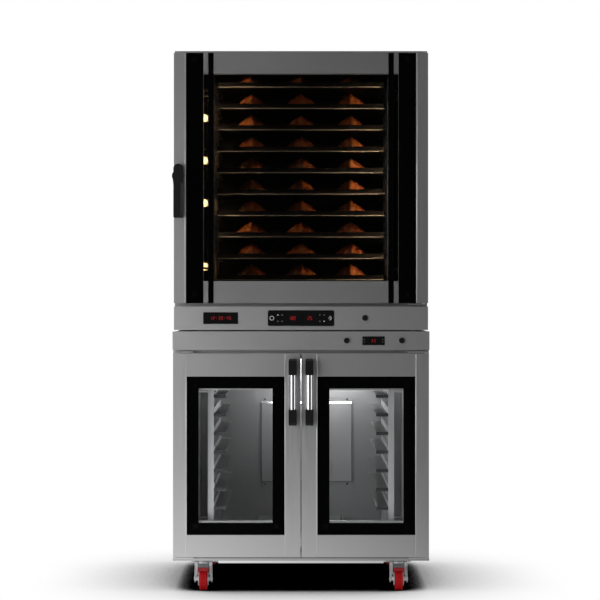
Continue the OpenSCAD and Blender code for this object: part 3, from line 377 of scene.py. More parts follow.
# the brushed steels here are lighter and darker copies of one steel, their shade set for how light
# falls on each part: painted light and shade
uprightSteel = brushedSteel("sheetSteelUpright", "z", 0.96)
prooferSteel = brushedSteel("prooferSteel", "z", 1.13)
fasciaSteel = brushedSteel("fasciaSteel", "x", 1.17)
foldSteel = brushedSteel("foldSteel", "z", 1.15, 0.04)
wornSteel = mottledMetal("wornEdgeSteel", (0.80, 0.75, 0.69), (0.92, 0.87, 0.80), 0.4, (0.42, 0.55))
plating = mottledMetal("castorPlating", (0.74, 0.76, 0.77), (0.84, 0.86, 0.87), 0.3, (0.34, 0.46))
proofingSteel = brushedSteel("proofingSteel", "z", 0.92)
rackSteel = brushedSteel("rackSteel", "y", 1.2, 0.12)
nodeFinishes = {
    # both panes are tinted grey, the inner one dark: painted shade that keeps the oven's chamber
    # dark behind them
    "oven_outer_glass": clearPane("greyPane", (0.80, 0.80, 0.80)),
    "oven_inner_glass": clearPane("darkPaneForShade", (0.31, 0.31, 0.31)),
    "oven_racks": rackSteel,
    "oven_door_frame": uprightSteel,
    "oven_casing": uprightSteel,
    "oven_rear_cover": uprightSteel,
    "left_door_frame": prooferSteel,
    "right_door_frame": prooferSteel,
    "proofer_casing": prooferSteel,
    "proofer_rear_panel": prooferSteel,
    "upper_fascia": fasciaSteel,
    "lower_fascia": fasciaSteel,
    "proofer_chamber": proofingSteel,
    # posts drawn half again as bright as the sheet steel with their ledges' tops darker, and the
    # heater cover a little lighter: painted light and shade
    "proofer_racks": brushedSteel("postSteel", "z", 1.5, tops=0.4),
    "heater_cover": brushedSteel("coverSteel", "z", 1.1),
}

for side in ("left", "right"):
    pedal = nodes[side + "_brake_pedal"]
    ownTop = (pedal.matrix_world.inverted() @ Vector((0, 0, dippedLook["redTop"]))).z
    nodeFinishes[side + "_brake_pedal"] = dippedPedal(side + "Pedal", ownTop)
for place in ("front_left", "front_right", "rear_left", "rear_right"):
    nodeFinishes[place + "_fork"] = plating

for part in frame["record"]["subparts"]:
    thing = nodes[part["node"]]
    thing.data.materials.clear()
    finish = nodeFinishes.get(part["node"]) or finishes[part["material_slot"]]
    thing.data.materials.append(finish)
print("finishes on", len(nodes), "parts")


# Mesh helpers. Pieces are built at their place in the object

def addPiece(name, bm, finish, body, smooth=True):
    mesh = bpy.data.meshes.new(name)
    bm.normal_update()
    bm.to_mesh(mesh)
    bm.free()
    mesh.materials.append(finish)
    if smooth:
        mesh.shade_smooth()
    piece = bpy.data.objects.new(name, mesh)
    bpy.context.collection.objects.link(piece)
    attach(piece, body)


def middleOf(node):
    # middle of a part's box across and up, on its front face
    low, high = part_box(node)
    return (low[0] + high[0]) / 2, low[1], (low[2] + high[2]) / 2


def circlePoints(x, z, radius, sides=20, tall=None):
    # circle in X and Z, or an ellipse where its half height is given too
    steps = [math.tau * k / sides for k in range(sides)]
    return [(x + radius * math.cos(a), z + (tall or radius) * math.sin(a)) for a in steps]


def facing(direction):
    # turns +Z towards a direction
    return Vector(direction).to_track_quat("Z", "Y").to_matrix().to_4x4()


def addLathe(bm, profile, place, direction, sides=16):
    # profile is (distance from the axis, height along it), from the foot to the crown
    turn = Matrix.Translation(place) @ facing(direction)
    rings = []
    for radius, height in profile:
        spots = circlePoints(0, 0, radius, sides) if radius else [(0, 0)]
        rings.append([bm.verts.new(turn @ Vector((x, y, height))) for x, y in spots])
    for low, high in zip(rings, rings[1:]):
        for k in range(sides):
            corners = [low[k % len(low)], low[(k + 1) % len(low)],
                       high[(k + 1) % len(high)], high[k % len(high)]]
            unique = list(dict.fromkeys(corners))
            if len(unique) > 2:
                bm.faces.new(unique)
    for ring, flip in ((rings[0], True), (rings[-1], False)):
        if len(ring) > 2:
            bm.faces.new(reversed(ring) if flip else ring)


boxSides = ((0, 2, 3, 1), (4, 5, 7, 6), (0, 1, 5, 4), (2, 6, 7, 3), (0, 4, 6, 2), (1, 3, 7, 5))


def addBar(bm, low, high):
    # box between two corners
    corners = [bm.verts.new((x, y, z)) for z in (low[2], high[2])
               for y in (low[1], high[1]) for x in (low[0], high[0])]
    for side in boxSides:
        bm.faces.new([corners[k] for k in side])


def addSheetBar(bm, corners, left, right):
    # bar along X with the four-cornered section given in Y and Z
    ends = [[bm.verts.new((x, y, z)) for y, z in corners] for x in (left, right)]
    for k in range(4):
        bm.faces.new([ends[0][k], ends[0][(k + 1) % 4], ends[1][(k + 1) % 4], ends[1][k]])
    bm.faces.new(ends[1])
    bm.faces.new(list(reversed(ends[0])))
    bmesh.ops.recalc_face_normals(bm, faces=bm.faces)


def addOutline(bm, points, y, thickness):
    # flat outline in X and Z, given a thickness towards the front
    back = [bm.verts.new((x, y, z)) for x, z in points]
    front = [bm.verts.new((x, y - thickness, z)) for x, z in points]
    count = len(points)
    bm.faces.new(front)
    bm.faces.new(list(reversed(back)))
    for k in range(count):
        bm.faces.new([back[k], back[(k + 1) % count], front[(k + 1) % count], front[k]])


# Bright folded edges of the doors

edgeBeads = {
    "radius": 2.2 * mm,
    "crown": 0.7,  # radius of the ends, as a share of the radius
    "round": 1 * mm,  # length of the rounding at the ends
    "sides": 10,
    "standOff": 0.6 * mm,
    "inset": 2 * mm,  # from the ends of the stile
}
foldedDoors = (  # name, frame, pane, body, and gap between pane and fold
    ("oven", "oven_door_frame", "oven_outer_glass", "oven_door", 1 * mm),
    ("left", "left_door_frame", "left_door_glass", "proofer_door_left", 0),
    ("right", "right_door_frame", "right_door_glass", "proofer_door_right", 0),
)


def addEdgeBead(bm, x, y, low, high):
    # half-sunk round fold that runs up a stile
    radius, rounding = edgeBeads["radius"], edgeBeads["round"]
    crown, length = radius * edgeBeads["crown"], high - low
    profile = [(0, 0), (crown, 0), (radius, rounding), (radius, length - rounding),
               (crown, length), (0, length)]
    addLathe(bm, profile, Vector((x, y + radius - edgeBeads["standOff"], low)), (0, 0, 1),
             edgeBeads["sides"])


def foldDoorEdges():
    radius, inset = edgeBeads["radius"], edgeBeads["inset"]
    for name, door, pane, body, gap in foldedDoors:
        low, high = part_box(door)
        paneLow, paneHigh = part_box(pane)
        bm = bmesh.new()
        for x in (paneLow[0] - radius - gap, paneHigh[0] + radius + gap):
            addEdgeBead(bm, x, low[1], low[2] + inset, high[2] - inset)
        addPiece(name + "DoorFolds", bm, foldSteel, body)


foldDoorEdges()
print("door folds made")


# Croissants on the trays

croissant = {
    "length": 138 * mm,
    "width": 72 * mm,
    "height": 57 * mm,
    "curl": 0.7,  # how far each half of the roll bends round, in radians
    "layers": 4.0,  # steps of dough from the middle to a tip
    "rings": 40,
    "sides": 18,
    "columns": (-177 * mm, 1 * mm, 179 * mm),
    "rows": (-262 * mm, -128 * mm, 2 * mm),
    "sway": 9,  # degrees that a croissant may lie askew
    "stretch": (0.93, 1.06),
    "taper": (1.2, 0.85),  # powers that shape the ends
    "stepCut": 0.14,  # share of the width lost within a step of dough
    "belly": 0.04,  # share of the width added to the middle
    "wobble": 0.03,  # unevenness round the roll
    "rise": (0.42, 0.58),  # height of the middle line and swing about it, as shares
    "swell": 1.04,  # how far the fullest croissant passes the height that is set
    "foot": 0.5 * mm,  # roughness of the underside
    "bake": (0.25, 0.6, 0.5),  # browning everywhere, on the ridges, and at the tips
    "seed": 11,
    "ceiling": 1826 * mm,  # of the baking chamber, which the top tray's croissants stay under
}
crust = {
    "ramp": ((0.0, (0.55, 0.20, 0.06)), (0.5, (0.38, 0.10, 0.025)), (1.0, (0.17, 0.035, 0.008))),
    "spots": 0.25,  # how far spots shift the browning
    "scatter": (0.01, 0.004, 0.002),  # how far red, green and blue light travel inside
}
trays = {"count": 10, "height": 18 * mm, "wall": 1.5 * mm}


def trayFeet():
    # heights of the trays' undersides, from the lowest tray to the highest
    low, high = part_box("baking_trays")
    pitch = (high[2] - low[2] - trays["height"]) / (trays["count"] - 1)
    return [low[2] + tray * pitch for tray in range(trays["count"])]


def crustFinish():
    material, tree, shader = newMaterial("bakedCrust")
    bake = addNode(tree, "Attribute", attribute_name="bake")
    spots = grainField(tree, evenly, 55.0, 5.0)
    mixed = addNode(tree, "Math", operation="ADD")
    tree.links.new(bake.outputs["Fac"], mixed.inputs[0])
    tree.links.new(spread(tree, spots, -crust["spots"], crust["spots"]), mixed.inputs[1])
    tree.links.new(colourRamp(tree, mixed.outputs[0], crust["ramp"]), shader.inputs["Base Color"])
    shader.inputs["Roughness"].default_value = 0.38
    shader.inputs["Coat Weight"].default_value = 0.25
    shader.inputs["Subsurface Weight"].default_value = 0.05
    shader.inputs["Subsurface Radius"].default_value = crust["scatter"]
    flakes = grainField(tree, evenly, 240.0, 4.0)
    addBump(tree, shader, flakes, 0.4, 0.0008)
    return material


def addCroissant(bm, bakeLayer, place, turn, rng, headroom):
    size = croissant
    height = min(size["height"], headroom)
    half = size["length"] / 2 * rng.uniform(*size["stretch"])
    arc = half / size["curl"]
    where = Matrix.Translation(place) @ Matrix.Rotation(turn, 4, "Z")
    slope, blunt = size["taper"]
    middle, swing = size["rise"]
    everywhere, ridges, tips = size["bake"]
    rings = []
    for i in range(size["rings"] + 1):
        t = -1 + 2 * i / size["rings"]
        angle = t * size["curl"]
        centre = Vector((arc * math.sin(angle), arc * (1 - math.cos(angle)), 0))
        outward = Vector((math.sin(angle), -math.cos(angle), 0))
        step = (abs(t) * size["layers"]) % 1.0
        taper = max(0.0, 1 - abs(t) ** slope) ** blunt * (1 - size["stepCut"] * step)
        taper += size["belly"] * (1 - abs(t))
        ring = []
        for k in range(size["sides"]):
            a = math.tau * k / size["sides"]
            wobble = 1 + size["wobble"] * math.sin(3 * a + 5 * t)
            across = size["width"] / 2 * taper * wobble * math.cos(a)
            up = height * (middle + swing * math.sin(a)) * taper * wobble
            point = centre + outward * across
            point.z = max(up, size["foot"] * rng.random())
            vert = bm.verts.new(where @ point)
            ridge = ridges * (1 - step) * max(0.0, math.sin(a))
            vert[bakeLayer] = min(1.0, everywhere + ridge + tips * abs(t) ** 3)
            ring.append(vert)
        rings.append(ring)
    count = size["sides"]
    for low, high in zip(rings, rings[1:]):
        for k in range(count):
            bm.faces.new([low[k], high[k], high[(k + 1) % count], low[(k + 1) % count]])
    bm.faces.new(rings[0])
    bm.faces.new(list(reversed(rings[-1])))


def loadTrays():
    rng = random.Random(croissant["seed"])
    finish = crustFinish()
    for tray, foot in enumerate(trayFeet()):
        level = foot + trays["wall"]
        headroom = (croissant["ceiling"] - level) / croissant["swell"]
        bm = bmesh.new()
        bakeLayer = bm.verts.layers.float.new("bake")
        for x in croissant["columns"]:
            for y in croissant["rows"]:
                turn = math.radians(rng.uniform(-croissant["sway"], croissant["sway"]))
                addCroissant(bm, bakeLayer, Vector((x, y, level)), turn, rng, headroom)
        bmesh.ops.recalc_face_normals(bm, faces=bm.faces)
        addPiece("croissants_" + str(tray + 1).zfill(2), bm, finish, "root")


loadTrays()


# Bare folded edges along the foot of each tray's front and rear

trayEdge = {
    "radius": 1.15 * mm,
    "proud": 0.4,  # how far the edge stands out of the tray, as a share of its radius
    "rise": 1.0 * mm,
    "inset": 3 * mm,
    "sides": 8,
}


def edgeTrays():
    low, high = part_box("baking_trays")
    radius, inset = trayEdge["radius"], trayEdge["inset"]
    out = radius * trayEdge["proud"]
    profile = [(radius, 0), (radius, high[0] - low[0] - 2 * inset)]
    bm = bmesh.new()
    for foot in trayFeet():
        for y in (low[1] - out, high[1] + out):
            place = Vector((low[0] + inset, y, foot + trayEdge["rise"]))
            addLathe(bm, profile, place, (1, 0, 0), trayEdge["sides"])
    addPiece("trayEdges", bm, wornSteel, "root")


edgeTrays()
print("trays loaded")


# Key marks beside the readings, taken from the middle of the main panel

keyMarks = {
    "proud": 0.3 * mm,
    "keyProud": 0.8 * mm,  # how far the keys stand out of the window
    "ring": (102 * mm, 7.9 * mm, 6.1 * mm),  # distance from the middle, outer and inner radius
    "arc": (99 * mm, 7.6 * mm, 5.6 * mm),
    "arcHalf": math.pi / 2.4,
    "disc": (98 * mm, 3.2 * mm),  # distance from the middle, and radius
    "rows": (11 * mm, -11 * mm),
    "columns": (66 * mm, 81 * mm),
    "radius": 2.1 * mm,
    "thermostat": (7 * mm, 4.5 * mm, 1.5 * mm),  # from its ends, from the middle line, and radius
}


def addRing(bm, x, y, z, outer, inner, thickness, start=0.0, end=math.tau, steps=28):
    # flat ring, or a part of one, facing the front
    whole = end - start >= math.tau - 1e-6
    count = steps if whole else steps + 1
    loops = []
    for radius, depth in ((inner, 0), (outer, 0), (outer, thickness), (inner, thickness)):
        loops.append([bm.verts.new((x + radius * math.cos(a), y - depth, z + radius * math.sin(a)))
                      for a in (start + (end - start) * k / steps for k in range(count))])
    for k in range(steps):
        for side in range(4):
            first, second = loops[side], loops[(side + 1) % 4]
            bm.faces.new([first[k], first[(k + 1) % count], second[(k + 1) % count], second[k]])
    if not whole:
        bm.faces.new([loop[0] for loop in loops])
        bm.faces.new([loop[-1] for loop in reversed(loops)])


# Readings and key marks on the displays

readings = {
    "colour": (1.0, 0.02, 0.03),
    "strength": 0.10,
    "unlit": (0.25, 0.005, 0.008),
    "lean": 0.08,
    "stroke": 0.17,  # of the digit's height, like the next three
    "width": 0.56,
    "colonGap": 0.2,
    "colonDot": 0.075,
    "gap": 0.35,  # between the bars of a digit, of half a stroke
    "proud": 0.25 * mm,
    "apart": 31 * mm,  # of the main panel's two readings from its middle
    "status": {"text": "12:30:45", "height": 13 * mm, "pitch": 9.6 * mm},
    "chamber": {"text": "180", "height": 14 * mm, "pitch": 8.4 * mm},
    "minutes": {"text": "25", "height": 14 * mm, "pitch": 8.4 * mm},
    "proofer": {"text": "35", "height": 11 * mm, "pitch": 9.5 * mm},
}
segmentsOf = {"0": "abcdef", "1": "bc", "2": "abged", "3": "abgcd", "4": "fgbc", "5": "afgcd",
              "8": "abcdefg"}


def segmentPoints(letter, height, width):
    # one lit bar of a seven-segment digit, as a six-cornered outline about the digit's middle
    s = readings["stroke"] * height / 2
    gap = s * readings["gap"]
    h, w = height / 2 - s, width / 2 - s
    across = {"a": h, "g": 0.0, "d": -h}
    if letter in across:
        z = across[letter]
        return [(-w + gap, z), (-w + gap + s, z - s), (w - gap - s, z - s),
                (w - gap, z), (w - gap - s, z + s), (-w + gap + s, z + s)]
    x = w if letter in "bc" else -w
    low, high = (0, h) if letter in "bf" else (-h, 0)
    return [(x, low + gap), (x + s, low + gap + s), (x + s, high - gap - s),
            (x, high - gap), (x - s, high - gap - s), (x - s, low + gap + s)]


def addReading(bm, text, height, pitch, x, y, z):
    start = x - pitch * (len(text) - 1) / 2
    for k, letter in enumerate(text):
        middle = start + k * pitch
        if letter == ":":
            gap, dot = height * readings["colonGap"], height * readings["colonDot"]
            for dz in (-gap, gap):
                addOutline(bm, circlePoints(middle, z + dz, dot, 8), y, readings["proud"])
            continue
        for bar in segmentsOf[letter]:
            points = [(middle + px + pz * readings["lean"], z + pz)
                      for px, pz in segmentPoints(bar, height, height * readings["width"])]
            addOutline(bm, points, y, readings["proud"])


def lightReadings():
    red = glowing("redReading", readings["colour"], readings["strength"], readings["unlit"])
    groups = (  # piece, display, how far the readings stand back, and each reading with its offset
        ("statusReading", "status_display", 0, (("status", 0),)),
        ("panelReadings", "main_panel", keyMarks["keyProud"],
         (("chamber", -readings["apart"]), ("minutes", readings["apart"]))),
        ("prooferReading", "proofer_thermostat", 0, (("proofer", 0),)),
    )
    for name, display, back, shown in groups:
        x, y, z = middleOf(display)
        bm = bmesh.new()
        for reading, offset in shown:
            addReading(bm, x=x + offset, y=y + back, z=z, **readings[reading])
        addPiece(name, bm, red, "root", smooth=False)


def markKeys():
    white = mouldedPlastic("whiteMark", (0.70, 0.70, 0.71), 0.45)
    grey = mouldedPlastic("greyMark", (0.17, 0.17, 0.175), 0.45)
    x, y, z = middleOf("main_panel")
    near, wide = keyMarks["columns"]
    up, down = keyMarks["rows"]
    proud, half = keyMarks["proud"], keyMarks["arcHalf"]
    bright, dim = bmesh.new(), bmesh.new()
    far, outer, inner = keyMarks["ring"]
    addRing(bright, x - far, y, z, outer, inner, proud)
    far, outer, inner = keyMarks["arc"]
    addRing(bright, x + far, y, z, outer, inner, proud, -half, half, 14)
    far, radius = keyMarks["disc"]
    addOutline(dim, circlePoints(x + far, z, radius), y, proud)
    spots = ((-wide, up, bright), (-near, up, dim), (-wide, down, dim), (-near, down, dim),
             (near, up, dim), (wide, up, dim), (near, down, dim), (wide, down, bright))
    for dx, dz, target in spots:
        addOutline(target, circlePoints(x + dx, z + dz, keyMarks["radius"], 12), y, proud)
    addPiece("panelMarksWhite", bright, white, "root", smooth=False)
    addPiece("panelMarksGrey", dim, grey, "root", smooth=False)

    low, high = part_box("proofer_thermostat")
    x, y, z = middleOf("proofer_thermostat")
    inset, rise, radius = keyMarks["thermostat"]
    bm = bmesh.new()
    for spotX in (low[0] + inset, high[0] - inset):
        for dz in (-rise, rise):
            addOutline(bm, circlePoints(spotX, z + dz, radius, 10), y, proud)
    addPiece("thermostatMarks", bm, grey, "root", smooth=False)


lightReadings()
markKeys()
print("readings and key marks made")


# Screws that hold the sheets at the back

screws = {
    "radius": 4.2 * mm,
    "height": 2.2 * mm,
    "inset": 16 * mm,
    "sides": 14,
    "profile": ((1, 0), (1, 0.35), (0.86, 0.75), (0.55, 1), (0.42, 1), (0.38, 0.35), (0, 0.35)),
}
rearSheets = {
    "face": 470 * mm,  # Y of the sheets' outer faces, without the hoods of their louvres
    "inset": 9.6 * mm,
    "counts": {"oven_rear_cover": (6, 5), "proofer_rear_panel": (5, 5)},  # up and across
}


def drawnProfile(profile, wide, high):
    return [(radius * wide, height * high) for radius, height in profile]


def addScrew(bm, place, direction):
    profile = drawnProfile(screws["profile"], screws["radius"], screws["height"])
    addLathe(bm, profile, Vector(place), direction, screws["sides"])


def edgeSpots(low, high, count):
    # evenly spaced places along a length, the inset in from its ends
    first, last = low + screws["inset"], high - screws["inset"]
    return [first + (last - first) * k / (count - 1) for k in range(count)]


def fixRearSheets():
    bm = bmesh.new()
    y, inset = rearSheets["face"], rearSheets["inset"]
    for node, (sideCount, topCount) in rearSheets["counts"].items():
        low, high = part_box(node)
        for x in (low[0] + inset, high[0] - inset):
            for z in edgeSpots(low[2], high[2], sideCount):
                addScrew(bm, (x, y, z), (0, 1, 0))
        for z in (low[2] + inset, high[2] - inset):
            for x in edgeSpots(low[0], high[0], topCount)[1:-1]:
                addScrew(bm, (x, y, z), (0, 1, 0))
    addPiece("rearScrews", bm, finishes["zinc_steel"], "root")


fixRearSheets()


# Screws along the rear edges of the side sheets, and the bare plate and earth stud at the back

sideSheets = {"fromRear": 34 * mm, "casings": ("oven_casing", "proofer_casing"), "count": 5}
rearPlate = {
    "middle": (180 * mm, 1010 * mm),
    "half": (48 * mm, 30 * mm),
    "corner": 5 * mm,
    "sheet": 0.8 * mm,
    "rivet": ((2, 0), (1.6, 0.9), (0.8, 1.3), (0, 1.4)),  # radius and height in millimetres
    "stud": ((9, 0), (9, 1.2), (7, 1.3), (7, 5), (6, 6), (3.5, 6), (3.5, 14), (2.6, 15), (0, 15)),
    "studAt": (250 * mm, 965 * mm),
}


def fixSideSheets():
    bm = bmesh.new()
    inset = screws["inset"]
    for node in sideSheets["casings"]:
        low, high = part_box(node)
        y = high[1] - sideSheets["fromRear"]
        for x, direction in ((low[0], -1), (high[0], 1)):
            for z in edgeSpots(low[2] + inset, high[2] - inset, sideSheets["count"]):
                # sunk so that the head stays within the object's width
                addScrew(bm, (x - direction * screws["height"], y, z), (direction, 0, 0))
    addPiece("sideScrews", bm, finishes["zinc_steel"], "root")


def roundedPlate(middle, half, corner, steps=5):
    # outline of a plate with round corners
    points = []
    for k, (sx, sz) in enumerate(((1, 1), (-1, 1), (-1, -1), (1, -1))):
        cx, cz = middle[0] + sx * (half[0] - corner), middle[1] + sz * (half[1] - corner)
        for step in range(steps + 1):
            a = math.pi / 2 * (k + step / steps)
            points.append((cx + corner * math.cos(a), cz + corner * math.sin(a)))
    return points


def addRearPlate():
    y, sheet, corner = rearSheets["face"], rearPlate["sheet"], rearPlate["corner"]
    middle, half = rearPlate["middle"], rearPlate["half"]
    bm = bmesh.new()
    addOutline(bm, roundedPlate(middle, half, corner), y + sheet, sheet)
    addPiece("bareRatingPlate", bm, wornSteel, "root", smooth=False)
    bm = bmesh.new()
    rivet = drawnProfile(rearPlate["rivet"], mm, mm)
    for sx in (-1, 1):
        for sz in (-1, 1):
            x, z = middle[0] + sx * (half[0] - corner), middle[1] + sz * (half[1] - corner)
            addLathe(bm, rivet, Vector((x, y + sheet, z)), (0, 1, 0), 10)
    addPiece("plateRivets", bm, finishes["zinc_steel"], "root")
    x, z = rearPlate["studAt"]
    bm = bmesh.new()
    addLathe(bm, drawnProfile(rearPlate["stud"], mm, mm), Vector((x, y, z)), (0, 1, 0), 6)
    addPiece("earthStud", bm, finishes["brass"], "root", smooth=False)


fixSideSheets()
addRearPlate()


# Heater cover on the proofer's back wall: dark strips that paint the shadow of its gap, bright
# upper edge, flanges and dark screws

coverTrim = {
    # width of the dark strips that paint the gap's shadow
    "gap": 1.5 * mm,
    "proud": 0.8 * mm,
    "lip": (6 * mm, 1.6 * mm),  # height and lean of the bright upper edge
    "screwIn": (14 * mm, 18 * mm),  # from the cover's left and right ends
    "screwOut": 9 * mm,  # above and below the cover
    "flange": 18 * mm,
    "sheet": 1.2 * mm,
}


def trimHeaterCover():
    low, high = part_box("heater_cover")
    gap, proud = coverTrim["gap"], coverTrim["proud"]
    bm = bmesh.new()
    # dark strips at the sides and foot, standing just in front of the cover: a painted shadow of
    # the gap
    y = low[1] - proud
    for x in (low[0], high[0] - gap):
        addBar(bm, (x, y, low[2]), (x + gap, low[1] + proud, high[2]))
    addBar(bm, (low[0], y, low[2]), (high[0], low[1] + proud, low[2] + gap))
    addPiece("heaterCoverPaintedShadow", bm, finishes["dark_steel"], "root", smooth=False)

    rise, lean = coverTrim["lip"]
    foot, top = high[2] - rise, high[2]
    corners = ((low[1], foot), (y, foot), (y + lean, top), (low[1] + lean, top))
    bm = bmesh.new()
    addSheetBar(bm, corners, low[0], high[0])
    addPiece("heaterCoverLip", bm, finishes["polished_steel"], "root", smooth=False)

    wall, sheet, flange = high[1], coverTrim["sheet"], coverTrim["flange"]
    bm = bmesh.new()
    for z in (low[2] - flange, high[2]):
        addBar(bm, (low[0], wall - sheet, z), (high[0], wall, z + flange))
    addPiece("heaterCoverFlanges", bm, proofingSteel, "root", smooth=False)
    bm = bmesh.new()
    fromLeft, fromRight = coverTrim["screwIn"]
    for x in (low[0] + fromLeft, high[0] - fromRight):
        for z in (low[2] - coverTrim["screwOut"], high[2] + coverTrim["screwOut"]):
            addScrew(bm, (x, wall - sheet, z), (0, -1, 0))
    addPiece("heaterCoverScrews", bm, finishes["motor_paint"], "root")


trimHeaterCover()
print("screws made")


# Folded lips at the front ends of the proofer's tray ledges, drawn dark as painted shade

ledgeLips = {
    "height": 12 * mm,
    "thickness": 0.8 * mm,
    "width": 43 * mm,
    "sheet": 2 * mm,  # more than the ledges' own, so that their undersides are passed over
    "reach": 0.5 * mm,  # how near the inner end a corner of a ledge has to be
}


def lipLedges():
    rack = nodes["proofer_racks"]
    points = [rack.matrix_world @ v.co for v in rack.data.vertices]
    inner = min(abs(p.x) for p in points)
    ends = [p for p in points if abs(abs(p.x) - inner) < ledgeLips["reach"]]
    front = min(p.y for p in ends)
    heights = sorted({round(p.z, 4) for p in ends})
    tops = [z for z in heights if not any(0 < other - z < ledgeLips["sheet"] for other in heights)]
    outer, face = inner + ledgeLips["width"], front - ledgeLips["thickness"]
    bm = bmesh.new()
    for z in tops:
        for low, high in ((inner, outer), (-outer, -inner)):
            addBar(bm, (low, face, z - ledgeLips["height"]), (high, front, z))
    # a fifth of the steel's brightness: painted shade on the lips' front faces
    lip = brushedSteel("lipSteelPaintedShade", "x", 0.2)
    addPiece("ledgeLips", bm, lip, "root", smooth=False)


# Studs that the oven's side racks hang on, and the lamps' reflectors

wallFittings = {
    "wall": 360 * mm,
    "studY": -330 * mm,
    "studRadius": 11 * mm,
    "studLength": 26 * mm,
    "studProfile": ((0.5, 0), (0.5, 0.55), (1, 0.6), (1, 0.75), (0.8, 0.92), (0.4, 1), (0, 1)),
    "leftStuds": (1733 * mm, 1571 * mm, 1435 * mm, 1310 * mm, 1218 * mm),
    "rightStuds": (1745 * mm, 1581 * mm, 1229 * mm),
    "lampHeights": (1142 * mm, 1371 * mm, 1524 * mm, 1677 * mm),
    "reflectorAt": (-340 * mm, -234 * mm),
    "reflectorHalf": (10 * mm, 13 * mm),
    "reflectorSheet": 1 * mm,
}


def fitWalls():
    sizes = wallFittings
    bm = bmesh.new()
    profile = drawnProfile(sizes["studProfile"], sizes["studRadius"], sizes["studLength"])
    for side, heights in ((-1, sizes["leftStuds"]), (1, sizes["rightStuds"])):
        for z in heights:
            addLathe(bm, profile, Vector((side * sizes["wall"], sizes["studY"], z)), (-side, 0, 0))
    addPiece("rackStuds", bm, finishes["dark_steel"], "root")

    bm = bmesh.new()
    x, y = sizes["reflectorAt"]
    wide, tall = sizes["reflectorHalf"]
    for height in sizes["lampHeights"]:
        outline = circlePoints(x, height, wide, tall=tall)
        addOutline(bm, outline, y, sizes["reflectorSheet"])
    bright = mouldedPlastic("reflectorEnamel", (0.80, 0.79, 0.76), 0.3)
    addPiece("lampReflectors", bm, bright, "root", smooth=False)


# Bright folded lip under the proofer's base, between the castors, which mirrors the floor

baseLip = {
    "y": -454.5 * mm,
    "top": 107 * mm,
    "height": 8.4 * mm,
    "lean": 1.1 * mm,
    "sheet": 1.2 * mm,
    "reach": 290 * mm,
}


def foldBaseLip():
    front, top, foot = baseLip["y"], baseLip["top"], baseLip["top"] - baseLip["height"]
    sheet, low = baseLip["sheet"], front + baseLip["lean"]
    # half again as bright as the sheet steel: painted light, on top of the floor that it mirrors
    bright = brushedSteel("baseLipSteel", "x", 1.5, 0.3)
    bm = bmesh.new()
    addSheetBar(bm, ((front + sheet, top), (front, top), (low, foot), (low + sheet, foot)),
                -baseLip["reach"], baseLip["reach"])
    addPiece("baseLip", bm, bright, "root", smooth=False)


lipLedges()
fitWalls()
foldBaseLip()
print("lips, studs and reflectors made")


# Camera, floor and light

studio = {
    "doorPlane": -475 * mm,
    "distance": 8.0,
    "eyeHeight": 1022 * mm,
    "eyeSide": -3.5 * mm,
    "dots": 600,
    "scale": 3.5 * mm,  # size of one of the picture's dots at the door plane
    "sensor": 36.0,
    "farthest": 200,
    "floorReach": 40,
    "floorGrey": 0.8,
    "contactReach": 0.55,  # of the contact shadow, in metres
    "contactStops": ((0.42, 0), (0.62, 0.55), (0.97, 1)),  # openness above the floor, and its grey
    "poolPlace": (-1.5, -0.7, 0),  # middle of the lit patch that mirrors see
    "poolReach": (0.9, 2.85),  # from there, where the patch begins and ends to fade, in metres
    "poolLevels": (1.02, 0.03),  # strength inside and outside the patch
}


def placeCamera():
    data = bpy.data.cameras.new("eye")
    data.sensor_width = studio["sensor"]
    data.lens = studio["sensor"] * studio["distance"] / (studio["scale"] * studio["dots"])
    data.clip_end = studio["farthest"]
    camera = bpy.data.objects.new("eye", data)
    back = studio["doorPlane"] - studio["distance"]
    camera.location = (studio["eyeSide"], back, studio["eyeHeight"])
    camera.rotation_euler = (math.radians(90), 0, 0)
    bpy.context.collection.objects.link(camera)
    bpy.context.scene.camera = camera


def straightRays(tree):
    # 1 for rays from the eye, through glass or not, that nothing has mirrored or scattered
    rays = addNode(tree, "LightPath")
    bounces = addNode(tree, "Math", operation="ADD")
    straight = addNode(tree, "Math", operation="SUBTRACT", use_clamp=True)
    straight.inputs[0].default_value = 1.0
    tree.links.new(rays.outputs["Glossy Depth"], bounces.inputs[0])
    tree.links.new(rays.outputs["Diffuse Depth"], bounces.inputs[1])
    tree.links.new(bounces.outputs[0], straight.inputs[1])
    return straight.outputs[0]


def mirroredRays(tree):
    # 1 for rays that a metal or glass surface has mirrored
    rays = addNode(tree, "LightPath")
    mirrored = addNode(tree, "Math", operation="MINIMUM")
    mirrored.inputs[1].default_value = 1.0
    tree.links.new(rays.outputs["Glossy Depth"], mirrored.inputs[0])
    return mirrored.outputs[0]


